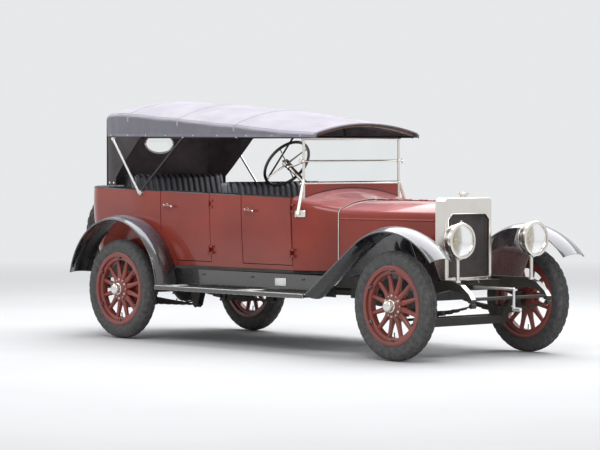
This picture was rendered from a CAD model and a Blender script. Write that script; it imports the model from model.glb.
"""Touring car of the 1920s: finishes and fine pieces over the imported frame.

Shapes are written in millimetres, x from the front axle, y to the left and z up from the ground.
"""
from math import acos, atan2, copysign, cos, degrees, exp, hypot, pi, radians, sin, sqrt

import bpy
from mathutils import Matrix, Vector


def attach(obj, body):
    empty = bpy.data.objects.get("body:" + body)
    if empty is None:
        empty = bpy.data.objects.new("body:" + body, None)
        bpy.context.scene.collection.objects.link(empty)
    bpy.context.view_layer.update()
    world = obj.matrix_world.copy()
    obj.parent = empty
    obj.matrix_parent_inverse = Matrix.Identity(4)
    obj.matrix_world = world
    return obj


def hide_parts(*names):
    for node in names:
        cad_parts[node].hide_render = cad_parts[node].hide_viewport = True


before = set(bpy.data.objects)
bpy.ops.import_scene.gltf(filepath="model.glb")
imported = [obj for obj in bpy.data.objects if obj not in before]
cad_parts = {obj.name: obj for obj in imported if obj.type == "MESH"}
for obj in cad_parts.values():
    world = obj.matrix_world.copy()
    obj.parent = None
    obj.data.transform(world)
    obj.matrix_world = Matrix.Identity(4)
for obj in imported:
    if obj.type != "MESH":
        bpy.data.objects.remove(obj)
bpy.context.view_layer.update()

X0 = 1.79  # front axle, metres ahead of the middle
REAR_X, AXLE_Z = -3260, 410  # rear axle, and height of both axles, millimetres
ORIGIN = (0, 0, 0)
SIDES = ((1, "left"), (-1, "right"))


def st(x):
    return X0 + x / 1000


def link(name, data):
    """Puts new object data into the scene."""
    obj = bpy.data.objects.new(name, data)
    bpy.context.scene.collection.objects.link(obj)
    return obj


def shade_smooth(mesh, angle=None):
    mesh.polygons.foreach_set("use_smooth", [True] * len(mesh.polygons))
    if angle:
        mesh.set_sharp_from_angle(angle=radians(angle))


def circle(n, start=0):
    """Angles of n even steps round a circle."""
    return [start + 2 * pi * j / n for j in range(n)]


def lerp(a, b, t):
    return a + (b - a) * t


def steps(a, b, n):
    """Places from a to b in n even steps, both ends included."""
    return [lerp(a, b, i / n) for i in range(n + 1)]


def smooth(t):
    t = max(0, min(1, t))
    return t * t * (3 - 2 * t)


def table_at(rows, x):
    """Linear reading of a table of (x, values...) rows, x falling."""
    for a, b in zip(rows[:-1], rows[1:]):
        if b[0] <= x <= a[0]:
            t = (a[0] - x) / (a[0] - b[0])
            return [lerp(p, q, t) for p, q in zip(a[1:], b[1:])]
    return list(rows[0][1:] if x > rows[0][0] else rows[-1][1:])


# Mesh code
class Shape:
    """Mesh gathered in millimetres, with a material number for each face."""

    def __init__(self):
        self.v = []
        self.f = []
        self.m = []

    def add(self, verts, faces, mat=0):
        n = len(self.v)
        self.v += [tuple(p) for p in verts]
        self.f += [tuple(i + n for i in f) for f in faces]
        self.m += [mat] * len(faces)
        return self

    def grid(self, rows, mat=0, wrap=False, loop=False, caps=False, flip=False):
        """Quads between rows of points; wrap closes each row, loop closes the rows."""
        nr, nc = len(rows), len(rows[0])
        faces = []
        for i in range(nr if loop else nr - 1):
            for j in range(nc if wrap else nc - 1):
                a, b = i * nc + j, i * nc + (j + 1) % nc
                k = (i + 1) % nr
                c, d = k * nc + (j + 1) % nc, k * nc + j
                faces.append((a, d, c, b) if flip else (a, b, c, d))
        if caps:
            ends = (tuple(range(nc))[::-1], tuple((nr - 1) * nc + j for j in range(nc)))
            faces += [e[::-1] if flip else e for e in ends]
        return self.add([p for r in rows for p in r], faces, mat)

    def bar(self, rows, mat=0, flip=False):
        """Closed solid through rings of points."""
        return self.grid(rows, mat, wrap=True, caps=True, flip=flip)

    def tube(self, pts, r, n=10, mat=0, closed=False, squash=1, up=(0, 0, 1)):
        """Round bar along points; r is one radius or one for each point."""
        p = [Vector(q) for q in pts]
        k = len(p)
        rs = r if hasattr(r, "__len__") else [r] * k
        rows = []
        normal = None
        for i in range(k):
            if closed:
                t = p[(i + 1) % k] - p[i - 1]
            else:
                t = p[min(i + 1, k - 1)] - p[max(i - 1, 0)]
            t.normalize()
            if normal is None:
                normal = Vector(up)
                if abs(t.dot(normal)) > 0.95:
                    normal = Vector((0, 1, 0))
            normal = (normal - t * normal.dot(t)).normalized()
            side = t.cross(normal)
            rows.append([p[i] + (normal * cos(a) + side * sin(a) * squash) * rs[i] for a in circle(n)])
        return self.grid(rows, mat, wrap=True, loop=closed, caps=not closed)

    def lathe(self, profile, origin, axis="x", n=32, mat=0, ring=False, caps=False):
        """Turned form; profile is (along, radius) pairs, ring closes the profile."""
        rows = []
        for a, r in profile:
            row = []
            for t in circle(n):
                c, s = r * cos(t), r * sin(t)
                q = {"x": (a, c, s), "y": (s, a, c), "z": (c, s, a)}[axis]
                row.append(tuple(o + w for o, w in zip(origin, q)))
            rows.append(row)
        return self.grid(rows, mat, wrap=True, loop=ring, caps=caps, flip=True)

    def knob(self, profile, origin, axis="x", n=32, mat=0):
        """Turned form whose last ring is closed by a flat face."""
        return self.lathe(profile + [(profile[-1][0], TIP)], origin, axis, n, mat)

    def box(self, x0, x1, y0, y1, z0, z1, e=2, mat=0, turn=None):
        """Box with chamfered edges; turn maps each point."""
        lo = (min(x0, x1), min(y0, y1), min(z0, z1))
        hi = (max(x0, x1), max(y0, y1), max(z0, z1))
        e = min([e] + [0.49 * (b - a) for a, b in zip(lo, hi)])
        rings = []
        for z, i in ((lo[2], e), (lo[2] + e, 0), (hi[2] - e, 0), (hi[2], e)):
            a0, a1, b0, b1 = lo[0] + i, hi[0] - i, lo[1] + i, hi[1] - i
            c = e * 0.999 if i == 0 else 0.3 * e
            rings.append([
                (a0 + c, b0, z), (a1 - c, b0, z), (a1, b0 + c, z), (a1, b1 - c, z),
                (a1 - c, b1, z), (a0 + c, b1, z), (a0, b1 - c, z), (a0, b0 + c, z),
            ])
        if turn:
            rings = [[turn(p) for p in ring] for ring in rings]
        return self.bar(rings, mat)

    def both(self):
        """Adds the mirror image across the car."""
        other = self.mirrored()
        return self.merge(other.v, other.f, other.m)

    def merge(self, verts, faces, mats):
        n = len(self.v)
        self.v += verts
        self.f += [tuple(i + n for i in f) for f in faces]
        self.m += mats
        return self

    def mirrored(self):
        """The mirror image alone."""
        out = Shape()
        out.v = [(x, -y, z) for x, y, z in self.v]
        out.f = [tuple(reversed(f)) for f in self.f]
        out.m = list(self.m)
        return out

    def make(self, name, mats, slot, replaces=(), angle=38, body="chassis", local=None):
        """Files the mesh as one piece that rides on a body; local places a shape with its own origin."""
        mesh = bpy.data.meshes.new(name)
        if local is None:
            verts = [(st(x), y / 1000, z / 1000) for x, y, z in self.v]
        else:
            verts = [local @ Vector((x / 1000, y / 1000, z / 1000)) for x, y, z in self.v]
        mesh.from_pydata(verts, [], self.f)
        for m in mats:
            mesh.materials.append(m)
        mesh.polygons.foreach_set("material_index", self.m)
        mesh.validate()
        shade_smooth(mesh, angle)
        obj = link(name, mesh)
        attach(obj, body)
        if replaces:
            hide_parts(*replaces)
        return obj

    def make_sides(self, name, mats, slot, body):
        """Files a left piece and its mirror image; both names hold a place for the side."""
        self.make(name % "left", mats, slot, body=body % "left")
        self.mirrored().make(name % "right", mats, slot, body=body % "right")


TIP = 0.01  # radius that closes a turned form at its axis


# Materials
class Finish:
    """Small helper round a material's nodes."""

    def __init__(self, name):
        self.mat = bpy.data.materials.new(name)
        self.mat.use_nodes = True
        self.nt = self.mat.node_tree
        self.bsdf = self.nt.nodes["Principled BSDF"]
        self.tex = self.node("ShaderNodeTexCoord")
        self.co = self.tex.outputs["Object"]

    def node(self, kind, **sets):
        n = self.nt.nodes.new(kind)
        for key, value in sets.items():
            if hasattr(n, key):
                setattr(n, key, value)
            else:
                self.put(n.inputs[key.replace("_", " ")], value)
        return n

    def put(self, socket, value):
        if isinstance(value, bpy.types.NodeSocket):
            self.nt.links.new(value, socket)
        elif hasattr(value, "__len__") and len(value) == 3 and socket.type == "RGBA":
            socket.default_value = (*value, 1)
        else:
            socket.default_value = value

    def set(self, **sets):
        for key, value in sets.items():
            self.put(self.bsdf.inputs[key.replace("_", " ")], value)

    def scaled(self, size):
        return self.node("ShaderNodeMapping", Vector=self.co, Scale=size).outputs["Vector"]

    def noise(self, scale, detail=3, rough=0.55, co=None):
        n = self.node("ShaderNodeTexNoise", Scale=scale, Detail=detail, Roughness=rough)
        self.put(n.inputs["Vector"], co or self.co)
        return n.outputs["Fac"]

    def ramp(self, value, lo, hi, a=0, b=1):
        n = self.node("ShaderNodeMapRange", clamp=True)
        for key, v in zip(("Value", "From Min", "From Max", "To Min", "To Max"), (value, lo, hi, a, b)):
            self.put(n.inputs[key], v)
        return n.outputs["Result"]

    def patch(self, scale, detail, lo, hi, a=0, b=1, rough=0.55):
        """Noise read between two levels."""
        return self.ramp(self.noise(scale, detail, rough), lo, hi, a, b)

    def mix(self, fac, a, b):
        n = self.node("ShaderNodeMix", data_type="RGBA", blend_type="MIX")
        for i, v in ((0, fac), (6, a), (7, b)):
            self.put(n.inputs[i], v)
        return n.outputs[2]

    def math(self, how, a, b=0):
        n = self.node("ShaderNodeMath", operation=how)
        self.put(n.inputs[0], a)
        self.put(n.inputs[1], b)
        return n.outputs[0]

    def times(self, a, b):
        return self.math("MULTIPLY", a, b)

    def cells(self, scale):
        """Distance to the edge of irregular cells."""
        v = self.node("ShaderNodeTexVoronoi", Scale=scale, feature="DISTANCE_TO_EDGE", Vector=self.co)
        return v.outputs["Distance"]

    def bump(self, height, distance, strength=1, below=None):
        n = self.node("ShaderNodeBump", Height=height, Distance=distance, Strength=strength)
        if below is not None:
            self.put(n.inputs["Normal"], below)
        return n.outputs["Normal"]

    def part(self, letter, space="Object"):
        """One coordinate of the place on the object, or of its own normal."""
        n = self.node("ShaderNodeSeparateXYZ")
        self.put(n.inputs[0], self.tex.outputs[space])
        return n.outputs[letter]


def srgb(r, g, b):
    def one(c):
        c /= 255
        return c / 12.92 if c <= 0.04045 else ((c + 0.055) / 1.055) ** 2.4

    return (one(r), one(g), one(b))


def paint(name, colour, deep, rough=0.32, coat=0.7, dust=0.25, wear=(0.03, 0.02, 0.015), edge=0.35,
          coat_ior=1.5, film=None, gloss=0.5):
    """Brushed and polished coach paint with dust low down, scuffs and a pale film on upper faces."""
    f = Finish(name)
    tone = f.mix(f.patch(2.2, 5, 0.3, 0.7), colour, deep)
    tone = f.mix(f.patch(38, 4, 0.35, 0.75, 0, 0.22), tone, deep)
    low = f.times(f.ramp(f.part("Z"), 0.95, 0.35), f.patch(9, 6, 0.3, 0.7, 0.35, 1))
    low = f.times(low, dust)
    tone = f.mix(low, tone, srgb(122, 112, 98))
    tone = f.mix(f.patch(85, 5, 0.68, 0.76, 0, edge, 0.7), tone, wear)
    if film:
        up = f.ramp(f.part("Z", "Normal"), 0.5, 0.92)
        tone = f.mix(f.times(up, f.patch(6, 4, 0.25, 0.7, 0.55, 0.85)), tone, film)
    f.set(Base_Color=tone, Coat_Weight=coat, Coat_Roughness=0.08, Coat_IOR=coat_ior, Specular_IOR_Level=gloss)
    f.set(Roughness=f.math("ADD", f.patch(9, 4, 0.3, 0.7, rough - 0.03, rough + 0.05), low))
    f.set(Normal=f.bump(f.noise(5, 2), 0.001, 0.06, f.bump(f.noise(420, 2), 0.0003, 0.35)))
    return f.mat


def metal(name, colour, rough=0.16, tarnish=(0.2, 0.16, 0.1), amount=0.2, brushed=1, spread=0.2):
    """Plated or polished metal with smudges and fine scratches."""
    f = Finish(name)
    smudge = f.noise(7, 5, 0.5)
    scratch = f.noise(700, 3, 0.6, f.scaled((1, 0.12, 1)))
    tone = f.mix(f.ramp(smudge, 0.5, 0.8, 0, amount), colour, tarnish)
    tone = f.mix(f.patch(130, 4, 0.62, 0.8, 0, amount), tone, tarnish)
    marks = f.math("ADD", smudge, f.times(scratch, 0.3))
    f.set(Base_Color=tone, Metallic=1, Roughness=f.ramp(marks, 0.35, 0.95, rough, rough + spread))
    f.set(Normal=f.bump(scratch, 0.00004 * brushed, 0.3))
    return f.mat


def leather(name, colour, high, rough=0.42, pitch=0, rubbed=None, coat=0.12):
    """Grained hide, paler where it is rubbed; pitch is the spacing of sewn channels across the car."""
    f = Finish(name)
    cells = f.ramp(f.cells(230), 0, 0.28)
    fold = f.noise(24, 6, 0.65)
    tone = f.mix(f.ramp(fold, 0.35, 0.75), colour, high)
    tone = f.mix(f.times(f.ramp(cells, 0.5, 0), 0.35), tone, (0.003, 0.003, 0.003))
    if pitch:
        across = f.times(f.math("ADD", f.part("Y"), pitch / 2), pi / pitch)
        crest = f.math("ABSOLUTE", f.math("SINE", across))
        tone = f.mix(f.times(f.ramp(crest, 0.55, 1), f.patch(9, 5, 0.3, 0.7, 0.35, 0.9)), tone, rubbed)
        tone = f.mix(f.ramp(crest, 0.35, 0, 0, 0.8), tone, (0.002, 0.002, 0.003))
    f.set(Base_Color=tone, Roughness=f.patch(11, 5, 0.3, 0.7, rough - 0.08, rough + 0.14))
    f.set(Coat_Weight=coat, Coat_Roughness=0.3)
    f.set(Normal=f.bump(fold, 0.003, 0.35, f.bump(cells, 0.0005, 0.6)))
    return f.mat


def canvas(name, colour, deep, pitch=0.0016, sheen=0.25, stain=0.5, side=None):
    """Plain-woven cloth: threads every way, weather marks, a soft sheen and a tone for upright faces."""
    f = Finish(name)
    height = None
    for axis in "XYZ":
        w = f.node("ShaderNodeTexWave", wave_type="BANDS", bands_direction=axis, Scale=0.314 / pitch,
                   Distortion=0.8, Detail=1, Vector=f.co)
        height = w.outputs["Fac"] if height is None else f.math("ADD", height, w.outputs["Fac"])
    mottle = f.noise(3.2, 7, 0.62)
    tone = f.mix(f.ramp(mottle, 0.3, 0.72), colour, deep)
    tone = f.mix(f.patch(0.9, 4, 0.45, 0.75, 0, stain * 0.4, 0.6), tone, srgb(128, 122, 112))
    tone = f.mix(f.ramp(height, 0.6, 2.2, 0.22, 0), tone, deep)
    tone = f.mix(f.patch(900, 2, 0.55, 0.8, 0, 0.15), tone, (0.8, 0.8, 0.8))
    if side:
        upright = f.ramp(f.part("Z", "Normal"), 0.75, 0.15)
        tone = f.mix(f.times(upright, f.ramp(mottle, 0.2, 0.8, 0.95, 0.7)), tone, side)
    f.set(Base_Color=tone, Roughness=f.ramp(mottle, 0.3, 0.7, 0.82, 0.95))
    f.set(Sheen_Weight=sheen, Sheen_Roughness=0.5)
    f.set(Normal=f.bump(f.noise(7, 5), 0.006, 0.3, f.bump(height, 0.0004, 0.55)))
    return f.mat


def rubber(name, colour, dusty):
    """Vulcanised rubber with chalky dust and small nicks."""
    f = Finish(name)
    tone = f.mix(f.patch(26, 6, 0.35, 0.7, rough=0.6), colour, dusty)
    tone = f.mix(f.patch(170, 3, 0.6, 0.8, 0, 0.4), tone, srgb(140, 132, 120))
    f.set(Base_Color=tone, Roughness=f.patch(50, 4, 0.3, 0.7, 0.62, 0.86))
    f.set(Normal=f.bump(f.noise(90, 4), 0.0012, 0.3, f.bump(f.noise(900, 2), 0.0002, 0.5)))
    return f.mat


def wood(name, colour, dark, along, rough=0.38, coat=0.4):
    """Grained timber under varnish or thin paint."""
    f = Finish(name)
    grain = f.noise(26, 6, 0.6, f.scaled(along))
    pores = f.noise(320, 3, 0.6, f.scaled(along))
    tone = f.mix(f.ramp(grain, 0.35, 0.68), colour, dark)
    tone = f.mix(f.ramp(pores, 0.62, 0.8, 0, 0.5), tone, dark)
    f.set(Base_Color=tone, Roughness=f.ramp(grain, 0.3, 0.7, rough - 0.08, rough + 0.12))
    f.set(Coat_Weight=coat, Coat_Roughness=0.15)
    f.set(Normal=f.bump(grain, 0.0006, 0.35, f.bump(pores, 0.0002, 0.4)))
    return f.mat


def iron(name, colour, rust):
    """Cast or forged iron, rough and slightly rusted."""
    f = Finish(name)
    mark = f.noise(18, 7, 0.65)
    tone = f.mix(f.ramp(mark, 0.42, 0.75, 0, 0.7), colour, rust)
    f.set(Base_Color=tone, Metallic=0.5, Roughness=f.patch(60, 5, 0.3, 0.7, 0.45, 0.75))
    f.set(Normal=f.bump(f.noise(210, 5, 0.7), 0.0009, 0.6, f.bump(mark, 0.002, 0.3)))
    return f.mat


def clear_glass(name, tint, rough=0.015):
    """Old polished plate with faint waves and smears."""
    f = Finish(name)
    f.set(Base_Color=f.mix(f.patch(4, 4, 0.3, 0.7), tint, tuple(c * 0.97 for c in tint)))
    f.set(Transmission_Weight=1, IOR=1.45, Roughness=f.patch(12, 5, 0.45, 0.8, rough, rough + 0.05))
    f.set(Normal=f.bump(f.noise(6, 2), 0.0008, 0.15))
    return f.mat


def core_finish(name):
    """Blackened honeycomb of the radiator: cell pattern with dusty rims."""
    f = Finish(name)
    rim = f.ramp(f.cells(120), 0, 0.2)
    tone = f.mix(rim, srgb(128, 117, 117), srgb(52, 48, 49))
    tone = f.mix(f.patch(8, 6, 0.45, 0.75, 0, 0.25), tone, srgb(58, 53, 52))
    f.set(Base_Color=tone, Metallic=0.4, Roughness=f.patch(40, 4, 0.3, 0.7, 0.5, 0.75))
    f.set(Normal=f.bump(rim, 0.003, 0.8))
    return f.mat


RED = paint("coach_red", srgb(156, 52, 33), srgb(132, 41, 27), dust=0.2, coat=1, coat_ior=1.4, edge=0.1,
            film=srgb(222, 150, 152), gloss=0.25)
RED_WOOD = paint("wheel_red", srgb(150, 46, 36), srgb(112, 30, 24), rough=0.36, coat=0.5, dust=0.3)
ENAMEL = {"colour": srgb(27, 27, 33), "deep": srgb(14, 14, 18), "coat": 1, "wear": srgb(70, 66, 62),
          "edge": 0.15, "coat_ior": 1.85}
BLACK = paint("black_enamel", rough=0.2, dust=0.13, **ENAMEL)
GUARD = paint("guard_enamel", rough=0.24, dust=0.1, film=srgb(128, 127, 141), **ENAMEL)
CHASSIS = paint("chassis_black", srgb(26, 25, 25), srgb(14, 13, 13), 0.5, 0.1, 0.22, srgb(84, 70, 58))
IRONS = paint("hood_iron_black", srgb(30, 29, 29), srgb(16, 15, 15), 0.4, 0.3, 0, srgb(120, 112, 100))
IVORY = paint("dial_cream", srgb(226, 216, 190), srgb(208, 196, 166), 0.5, 0.2, 0, edge=0)
NICKEL = metal("nickel_plate", (0.80, 0.765, 0.715), 0.14, (0.42, 0.36, 0.28), 0.16, 0.7, 0.12)
BRIGHT = metal("polished_alloy", (0.80, 0.80, 0.79), 0.24, (0.35, 0.34, 0.32), 0.3)
BEAD = metal("guard_edge", srgb(176, 174, 190), 0.3, (0.2, 0.2, 0.22), 0.4)
BRASS = metal("brass", (0.72, 0.52, 0.24), 0.2, (0.25, 0.16, 0.07), 0.35)
SILVERED = metal("silvered", (0.93, 0.90, 0.79), 0.32, (0.62, 0.56, 0.38), 0.2)
FINS = metal("core_fins", (0.2, 0.175, 0.175), 0.42, (0.08, 0.07, 0.07), 0.7)
CHANNEL = 0.062  # spacing of the seats' sewn channels, metres
LEATHER = leather("seat_hide", srgb(27, 26, 30), srgb(46, 45, 50), 0.36, CHANNEL, srgb(140, 139, 158), 0.5)
WELT = leather("welt_hide", srgb(22, 21, 23), srgb(40, 38, 40), 0.4)
TRIM = leather("trim_hide", srgb(20, 19, 20), srgb(34, 33, 33), 0.5)
HOOD = canvas("hood_canvas_outer", srgb(204, 199, 208), srgb(176, 172, 184), stain=0.35,
              side=srgb(96, 95, 105))
QUARTER = canvas("hood_quarter_outer", srgb(70, 62, 63), srgb(52, 45, 46), 0.0016, 0.12, 0.12)
LINING = canvas("hood_lining", srgb(138, 123, 126), srgb(90, 80, 82), 0.0014, 0.1, 0.1)
HEM = canvas("hood_binding", srgb(146, 144, 154), srgb(112, 110, 122), 0.0012, 0.2, 0.2)
SEAM = canvas("hood_seam", srgb(180, 176, 187), srgb(154, 151, 164), 0.0012, 0.2, 0.2)
FELT = canvas("floor_carpet", srgb(58, 44, 40), srgb(38, 29, 27), 0.003, 0.4, 0.2)
BOW_WOOD = wood("bow_ash", srgb(120, 84, 50), srgb(72, 46, 26), (12, 1, 12))
FASCIA = wood("fascia_walnut", srgb(96, 56, 30), srgb(48, 26, 14), (12, 1, 12), 0.3, 0.8)
RIM_WOOD = wood("rim_ebonised", srgb(34, 24, 18), srgb(14, 10, 8), (4, 4, 4), 0.3, 0.7)
TYRE = rubber("tyre_rubber", srgb(62, 61, 62), srgb(92, 90, 88))
MAT = rubber("mat_rubber", srgb(34, 33, 33), srgb(58, 56, 52))
ENGINE = iron("engine_grey", srgb(84, 88, 86), srgb(58, 50, 42))
DARK_IRON = iron("dark_iron", srgb(46, 43, 41), srgb(70, 48, 34))
CORE = core_finish("honeycomb")
GLASS = clear_glass("plate_glass", (0.975, 0.99, 0.985))
LENS = clear_glass("lamp_lens", (0.99, 0.97, 0.88), 0.12)

# Finish of each node by the start of its name
NODE_FINISH = (
    (RED, "bonnet_ door_ rear_tub scuttle side_pillars"),
    (BLACK, "running_boards spare_carrier"),
    (GUARD, "front_mudguards rear_mudguards"),
    (CHASSIS, "frame_rails front_axle knuckle_ leaf_springs rear_axle steering_column track_rod"),
    (IRONS, "hand_levers_and_pedals hood_irons"),
    (NICKEL, "headlamps radiator_shell windscreen_frame"),
    (LEATHER, "front_seat_ rear_seat_"),
    (TYRE, "tyre_ spare_tyre"),
    (RED_WOOD, "wheel_"),
    (HOOD, "hood_canvas"),
    (FELT, "cabin_floor"),
    (ENGINE, "engine_block"),
    (DARK_IRON, "exhaust"),
    (GLASS, "glass_panes"),
    (CORE, "radiator_core"),
    (BRIGHT, "starting_handle"),
    (RIM_WOOD, "steering_wheel"),
)
for node_name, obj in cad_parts.items():
    finish = next(f for f, names in NODE_FINISH if node_name.startswith(tuple(names.split())))
    for s in obj.material_slots:
        s.material = finish
    if not obj.material_slots:
        obj.data.materials.append(finish)


# Camera, lights, floor
def aim_at(obj, place, target):
    obj.location = place
    obj.rotation_mode = "QUATERNION"
    obj.rotation_quaternion = (Vector(target) - Vector(place)).to_track_quat("-Z", "Y")


def area_lamp(name, place, target, size, power):
    data = bpy.data.lights.new(name, "AREA")
    data.shape = "RECTANGLE"
    data.size, data.size_y = size
    data.energy = power
    aim_at(link(name, data), place, target)


cam = link("camera", bpy.data.cameras.new("camera"))
aim_at(cam, (16.27, -14.64, 1.60), (-0.06, 0, 0.955))
cam.data.lens = 163
cam.data.clip_end = 300
bpy.context.scene.camera = cam
area_lamp("key", (5, -6, 7), (0, 0, 0.8), (5, 4), 300)
area_lamp("fill", (-6, -5, 5), (0, 0, 0.8), (5, 4), 110)
area_lamp("sky", (-0.5, 3, 8.5), (0, 0, 1), (13, 10), 1150)

BACK = (0.80, 0.81, 0.82)
world = bpy.data.worlds.new("studio")
bpy.context.scene.world = world
world.use_nodes = True
wn = world.node_tree
wn.nodes.clear()
out = wn.nodes.new("ShaderNodeOutputWorld")
ambient = wn.nodes.new("ShaderNodeBackground")
ambient.inputs["Color"].default_value = (0.60, 0.62, 0.66, 1)
ambient.inputs["Strength"].default_value = 0.62
pale = wn.nodes.new("ShaderNodeBackground")
pale.inputs["Color"].default_value = (*BACK, 1)
path = wn.nodes.new("ShaderNodeLightPath")
mixer = wn.nodes.new("ShaderNodeMixShader")
seen = path.outputs["Is Camera Ray"]
for other in ("Is Glossy Ray", "Is Transmission Ray"):
    top = wn.nodes.new("ShaderNodeMath")
    top.operation = "MAXIMUM"
    wn.links.new(seen, top.inputs[0])
    wn.links.new(path.outputs[other], top.inputs[1])
    seen = top.outputs[0]
for i, source in enumerate((seen, ambient.outputs[0], pale.outputs[0])):
    wn.links.new(source, mixer.inputs[i])
wn.links.new(mixer.outputs[0], out.inputs[0])

floor_mesh = bpy.data.meshes.new("floor")
FLOOR_RINGS = (2.5, 5, 8, 14, 30, 90, 180)
N_FLOOR = 48
fv = [ORIGIN]
ff = []
for r in FLOOR_RINGS:
    fv += [(r * cos(k * pi / 24), r * sin(k * pi / 24), 0) for k in range(N_FLOOR)]
for k in range(N_FLOOR):
    ff.append((0, 1 + k, 1 + (k + 1) % N_FLOOR))
    for i in range(len(FLOOR_RINGS) - 1):
        a, b = 1 + i * N_FLOOR, 1 + (i + 1) * N_FLOOR
        ff.append((a + k, b + k, b + (k + 1) % N_FLOOR, a + (k + 1) % N_FLOOR))
floor_mesh.from_pydata(fv, [], ff)
floor = link("floor", floor_mesh)
ground = Finish("studio_floor")
ground.set(Base_Color=ground.mix(ground.patch(0.6, 3, 0.3, 0.7), (0.74, 0.745, 0.75), (0.70, 0.705, 0.71)))
ground.set(Roughness=0.9)
far = ground.node("ShaderNodeEmission", Color=BACK, Strength=1)
length = ground.node("ShaderNodeVectorMath", operation="LENGTH")
ground.put(length.inputs[0], ground.co)
spread = ground.node("ShaderNodeMixShader")
fade = ground.ramp(length.outputs["Value"], 4, 16)
for i, source in enumerate((fade, ground.bsdf.outputs[0], far.outputs[0])):
    ground.put(spread.inputs[i], source)
ground.put(ground.nt.nodes["Material Output"].inputs["Surface"], spread.outputs[0])
floor_mesh.materials.append(ground.mat)
bpy.context.scene.view_settings.view_transform = "Standard"


# Forms shared with the frame
def arch(h, s, c, f, n_side, n_corner, n_top, low, lean=0):
    """Half of a round-topped section, from low up the side to the crown: (y, z) points."""
    g = c - s
    big = (h * h + g * g) / (2 * g)
    z0 = c - big
    zc = z0 + sqrt((big - f) ** 2 - (h - f) ** 2)
    a0 = atan2(zc - z0, h - f)
    pts = []
    for i in range(n_side):
        z = lerp(low, zc, i / n_side)
        pts.append((h - lean * (s - z) / max(s - low, 1e-6), z))
    for i in range(n_corner):
        a = a0 * i / n_corner
        pts.append((h - f + f * cos(a), zc + f * sin(a)))
    return pts + [(big * cos(a), z0 + big * sin(a)) for a in steps(a0, pi / 2, n_top)]


def whole(half, x):
    """Section right across the car at x, from the left half's (y, z) points."""
    return [(x, y, z) for y, z in half] + [(x, -y, z) for y, z in reversed(half[:-1])]


def belt_z(x):
    return 1187 + (-1140 - x) * 0.0206


def side_y(x, z=1200):
    """Half-width of the body's skin, ahead of its rounded tail."""
    y = lerp(590, 642, (-1300 - x) / 1850) if x > -3150 else lerp(642, 575, (-3150 - x) / 810)
    y -= max(0, 2.3 - abs(x + 3150) * 0.028)
    inset = lerp(0, 4, (1285 - z) / 385) if z > 900 else lerp(4, 26, (900 - z) / 275)
    return y - inset


def tail_path(x_from, inset, z_of):
    """Plan of the body from a place on the left side round the tail to the middle."""
    r = 260 - inset
    k = 0.0827
    cx = -3960 + 260
    cy = 642 - k * (-3150 - cx) - 260 * sqrt(1 + k * k)
    pts = []
    x = x_from
    while x > cx + 40:
        pts.append((x, side_y(x) - inset))
        x -= 90
    pts += [(cx + r * cos(a), cy + r * sin(a)) for a in steps(atan2(1, -k), pi, 14)]
    pts += [(cx - r, cy * (1 - i / 4)) for i in range(1, 5)]
    return [(x, y, z_of(x)) for x, y in pts]


SCUTTLE = ((-962, 394, 1096, 1182), (-1120, 524, 1142, 1224), (-1297, 589, 1183, 1282))
HOOD_SECTIONS = (
    (-1050, 1688, 1768, 560), (-1350, 1705, 1824, 606), (-1950, 1752, 1882, 622), (-2650, 1806, 1938, 628),
    (-3320, 1856, 1972, 626), (-3560, 1862, 1966, 610), (-3660, 1836, 1930, 560),
)

# Tyres and wheels
def y_lathe(shape, profile, n, mat=0, ring=False):
    """Turned form about the wheel's own axis."""
    shape.lathe(profile, ORIGIN, "y", n, mat, ring)


def round_axle(a):
    """Map that turns a point about the wheel's own axis."""
    return lambda p: (p[0] * cos(a) - p[2] * sin(a), p[1], p[0] * sin(a) + p[2] * cos(a))


def tyre_shape():
    """Tyre about the Y axis with block tread and ribbed walls."""
    # Offset, radius and tread kind: 0 plain, 1 block, 2 groove, 3 shoulder, 4 shifted block, 5 middle rib
    prof = [(-40, 292.6, 0), (-44.5, 300, 0), (-49, 308, 0), (-53.5, 318, 0), (-56.8, 330, 0),
            (-58.4, 343, 0), (-58.8, 352, 0), (-58.2, 362, 0), (-56.4, 372, 0), (-53.6, 381, 0),
            (-52.6, 383.6, 3), (-49.5, 389.6, 3), (-46.2, 393.4, 1), (-38, 400.6, 1), (-30.2, 404.8, 1),
            (-29.2, 405.2, 2), (-23.4, 407, 2), (-22.4, 407.2, 4), (-15, 408.8, 4), (-8.2, 409.5, 4),
            (-7.2, 409.6, 2), (-3.4, 409.8, 2), (-2.4, 409.8, 5)]
    prof += [(-y, r, k) for y, r, k in reversed(prof)]
    s = Shape()
    rows = []
    for j, a in enumerate(circle(252)):
        gap = j % 7 in (0, 1)
        shift = (j + 3) % 7 in (0, 1)
        depth = {0: 0, 1: 6 * gap, 2: 6, 3: 3 * gap, 4: 5 * shift, 5: 0}
        rows.append([((r - depth[k]) * sin(a), y, (r - depth[k]) * cos(a)) for y, r, k in prof])
    s.grid(rows, loop=True, wrap=True)
    # Raised bands on the walls
    for y in (-1, 1):
        for base, r, w in ((57, 371, 1.6), (54.8, 322, 1.4)):
            y_lathe(s, [(y * (base - 1.5), r - 3), (y * (base + w * 0.6), r), (y * (base - 1.5), r + 3)], 90)
    return s


def spoke_row(r, w, d, k, a):
    """Rounded section of a spoke: half-width w, half-depth d, squareness k."""
    row = []
    for t in circle(16):
        c, s = cos(t), sin(t)
        u = w * copysign(abs(c) ** (2 / k), c)
        v = d * copysign(abs(s) ** (2 / k), s)
        row.append((r * cos(a) - u * sin(a), v, r * sin(a) + u * cos(a)))
    return row


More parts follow.
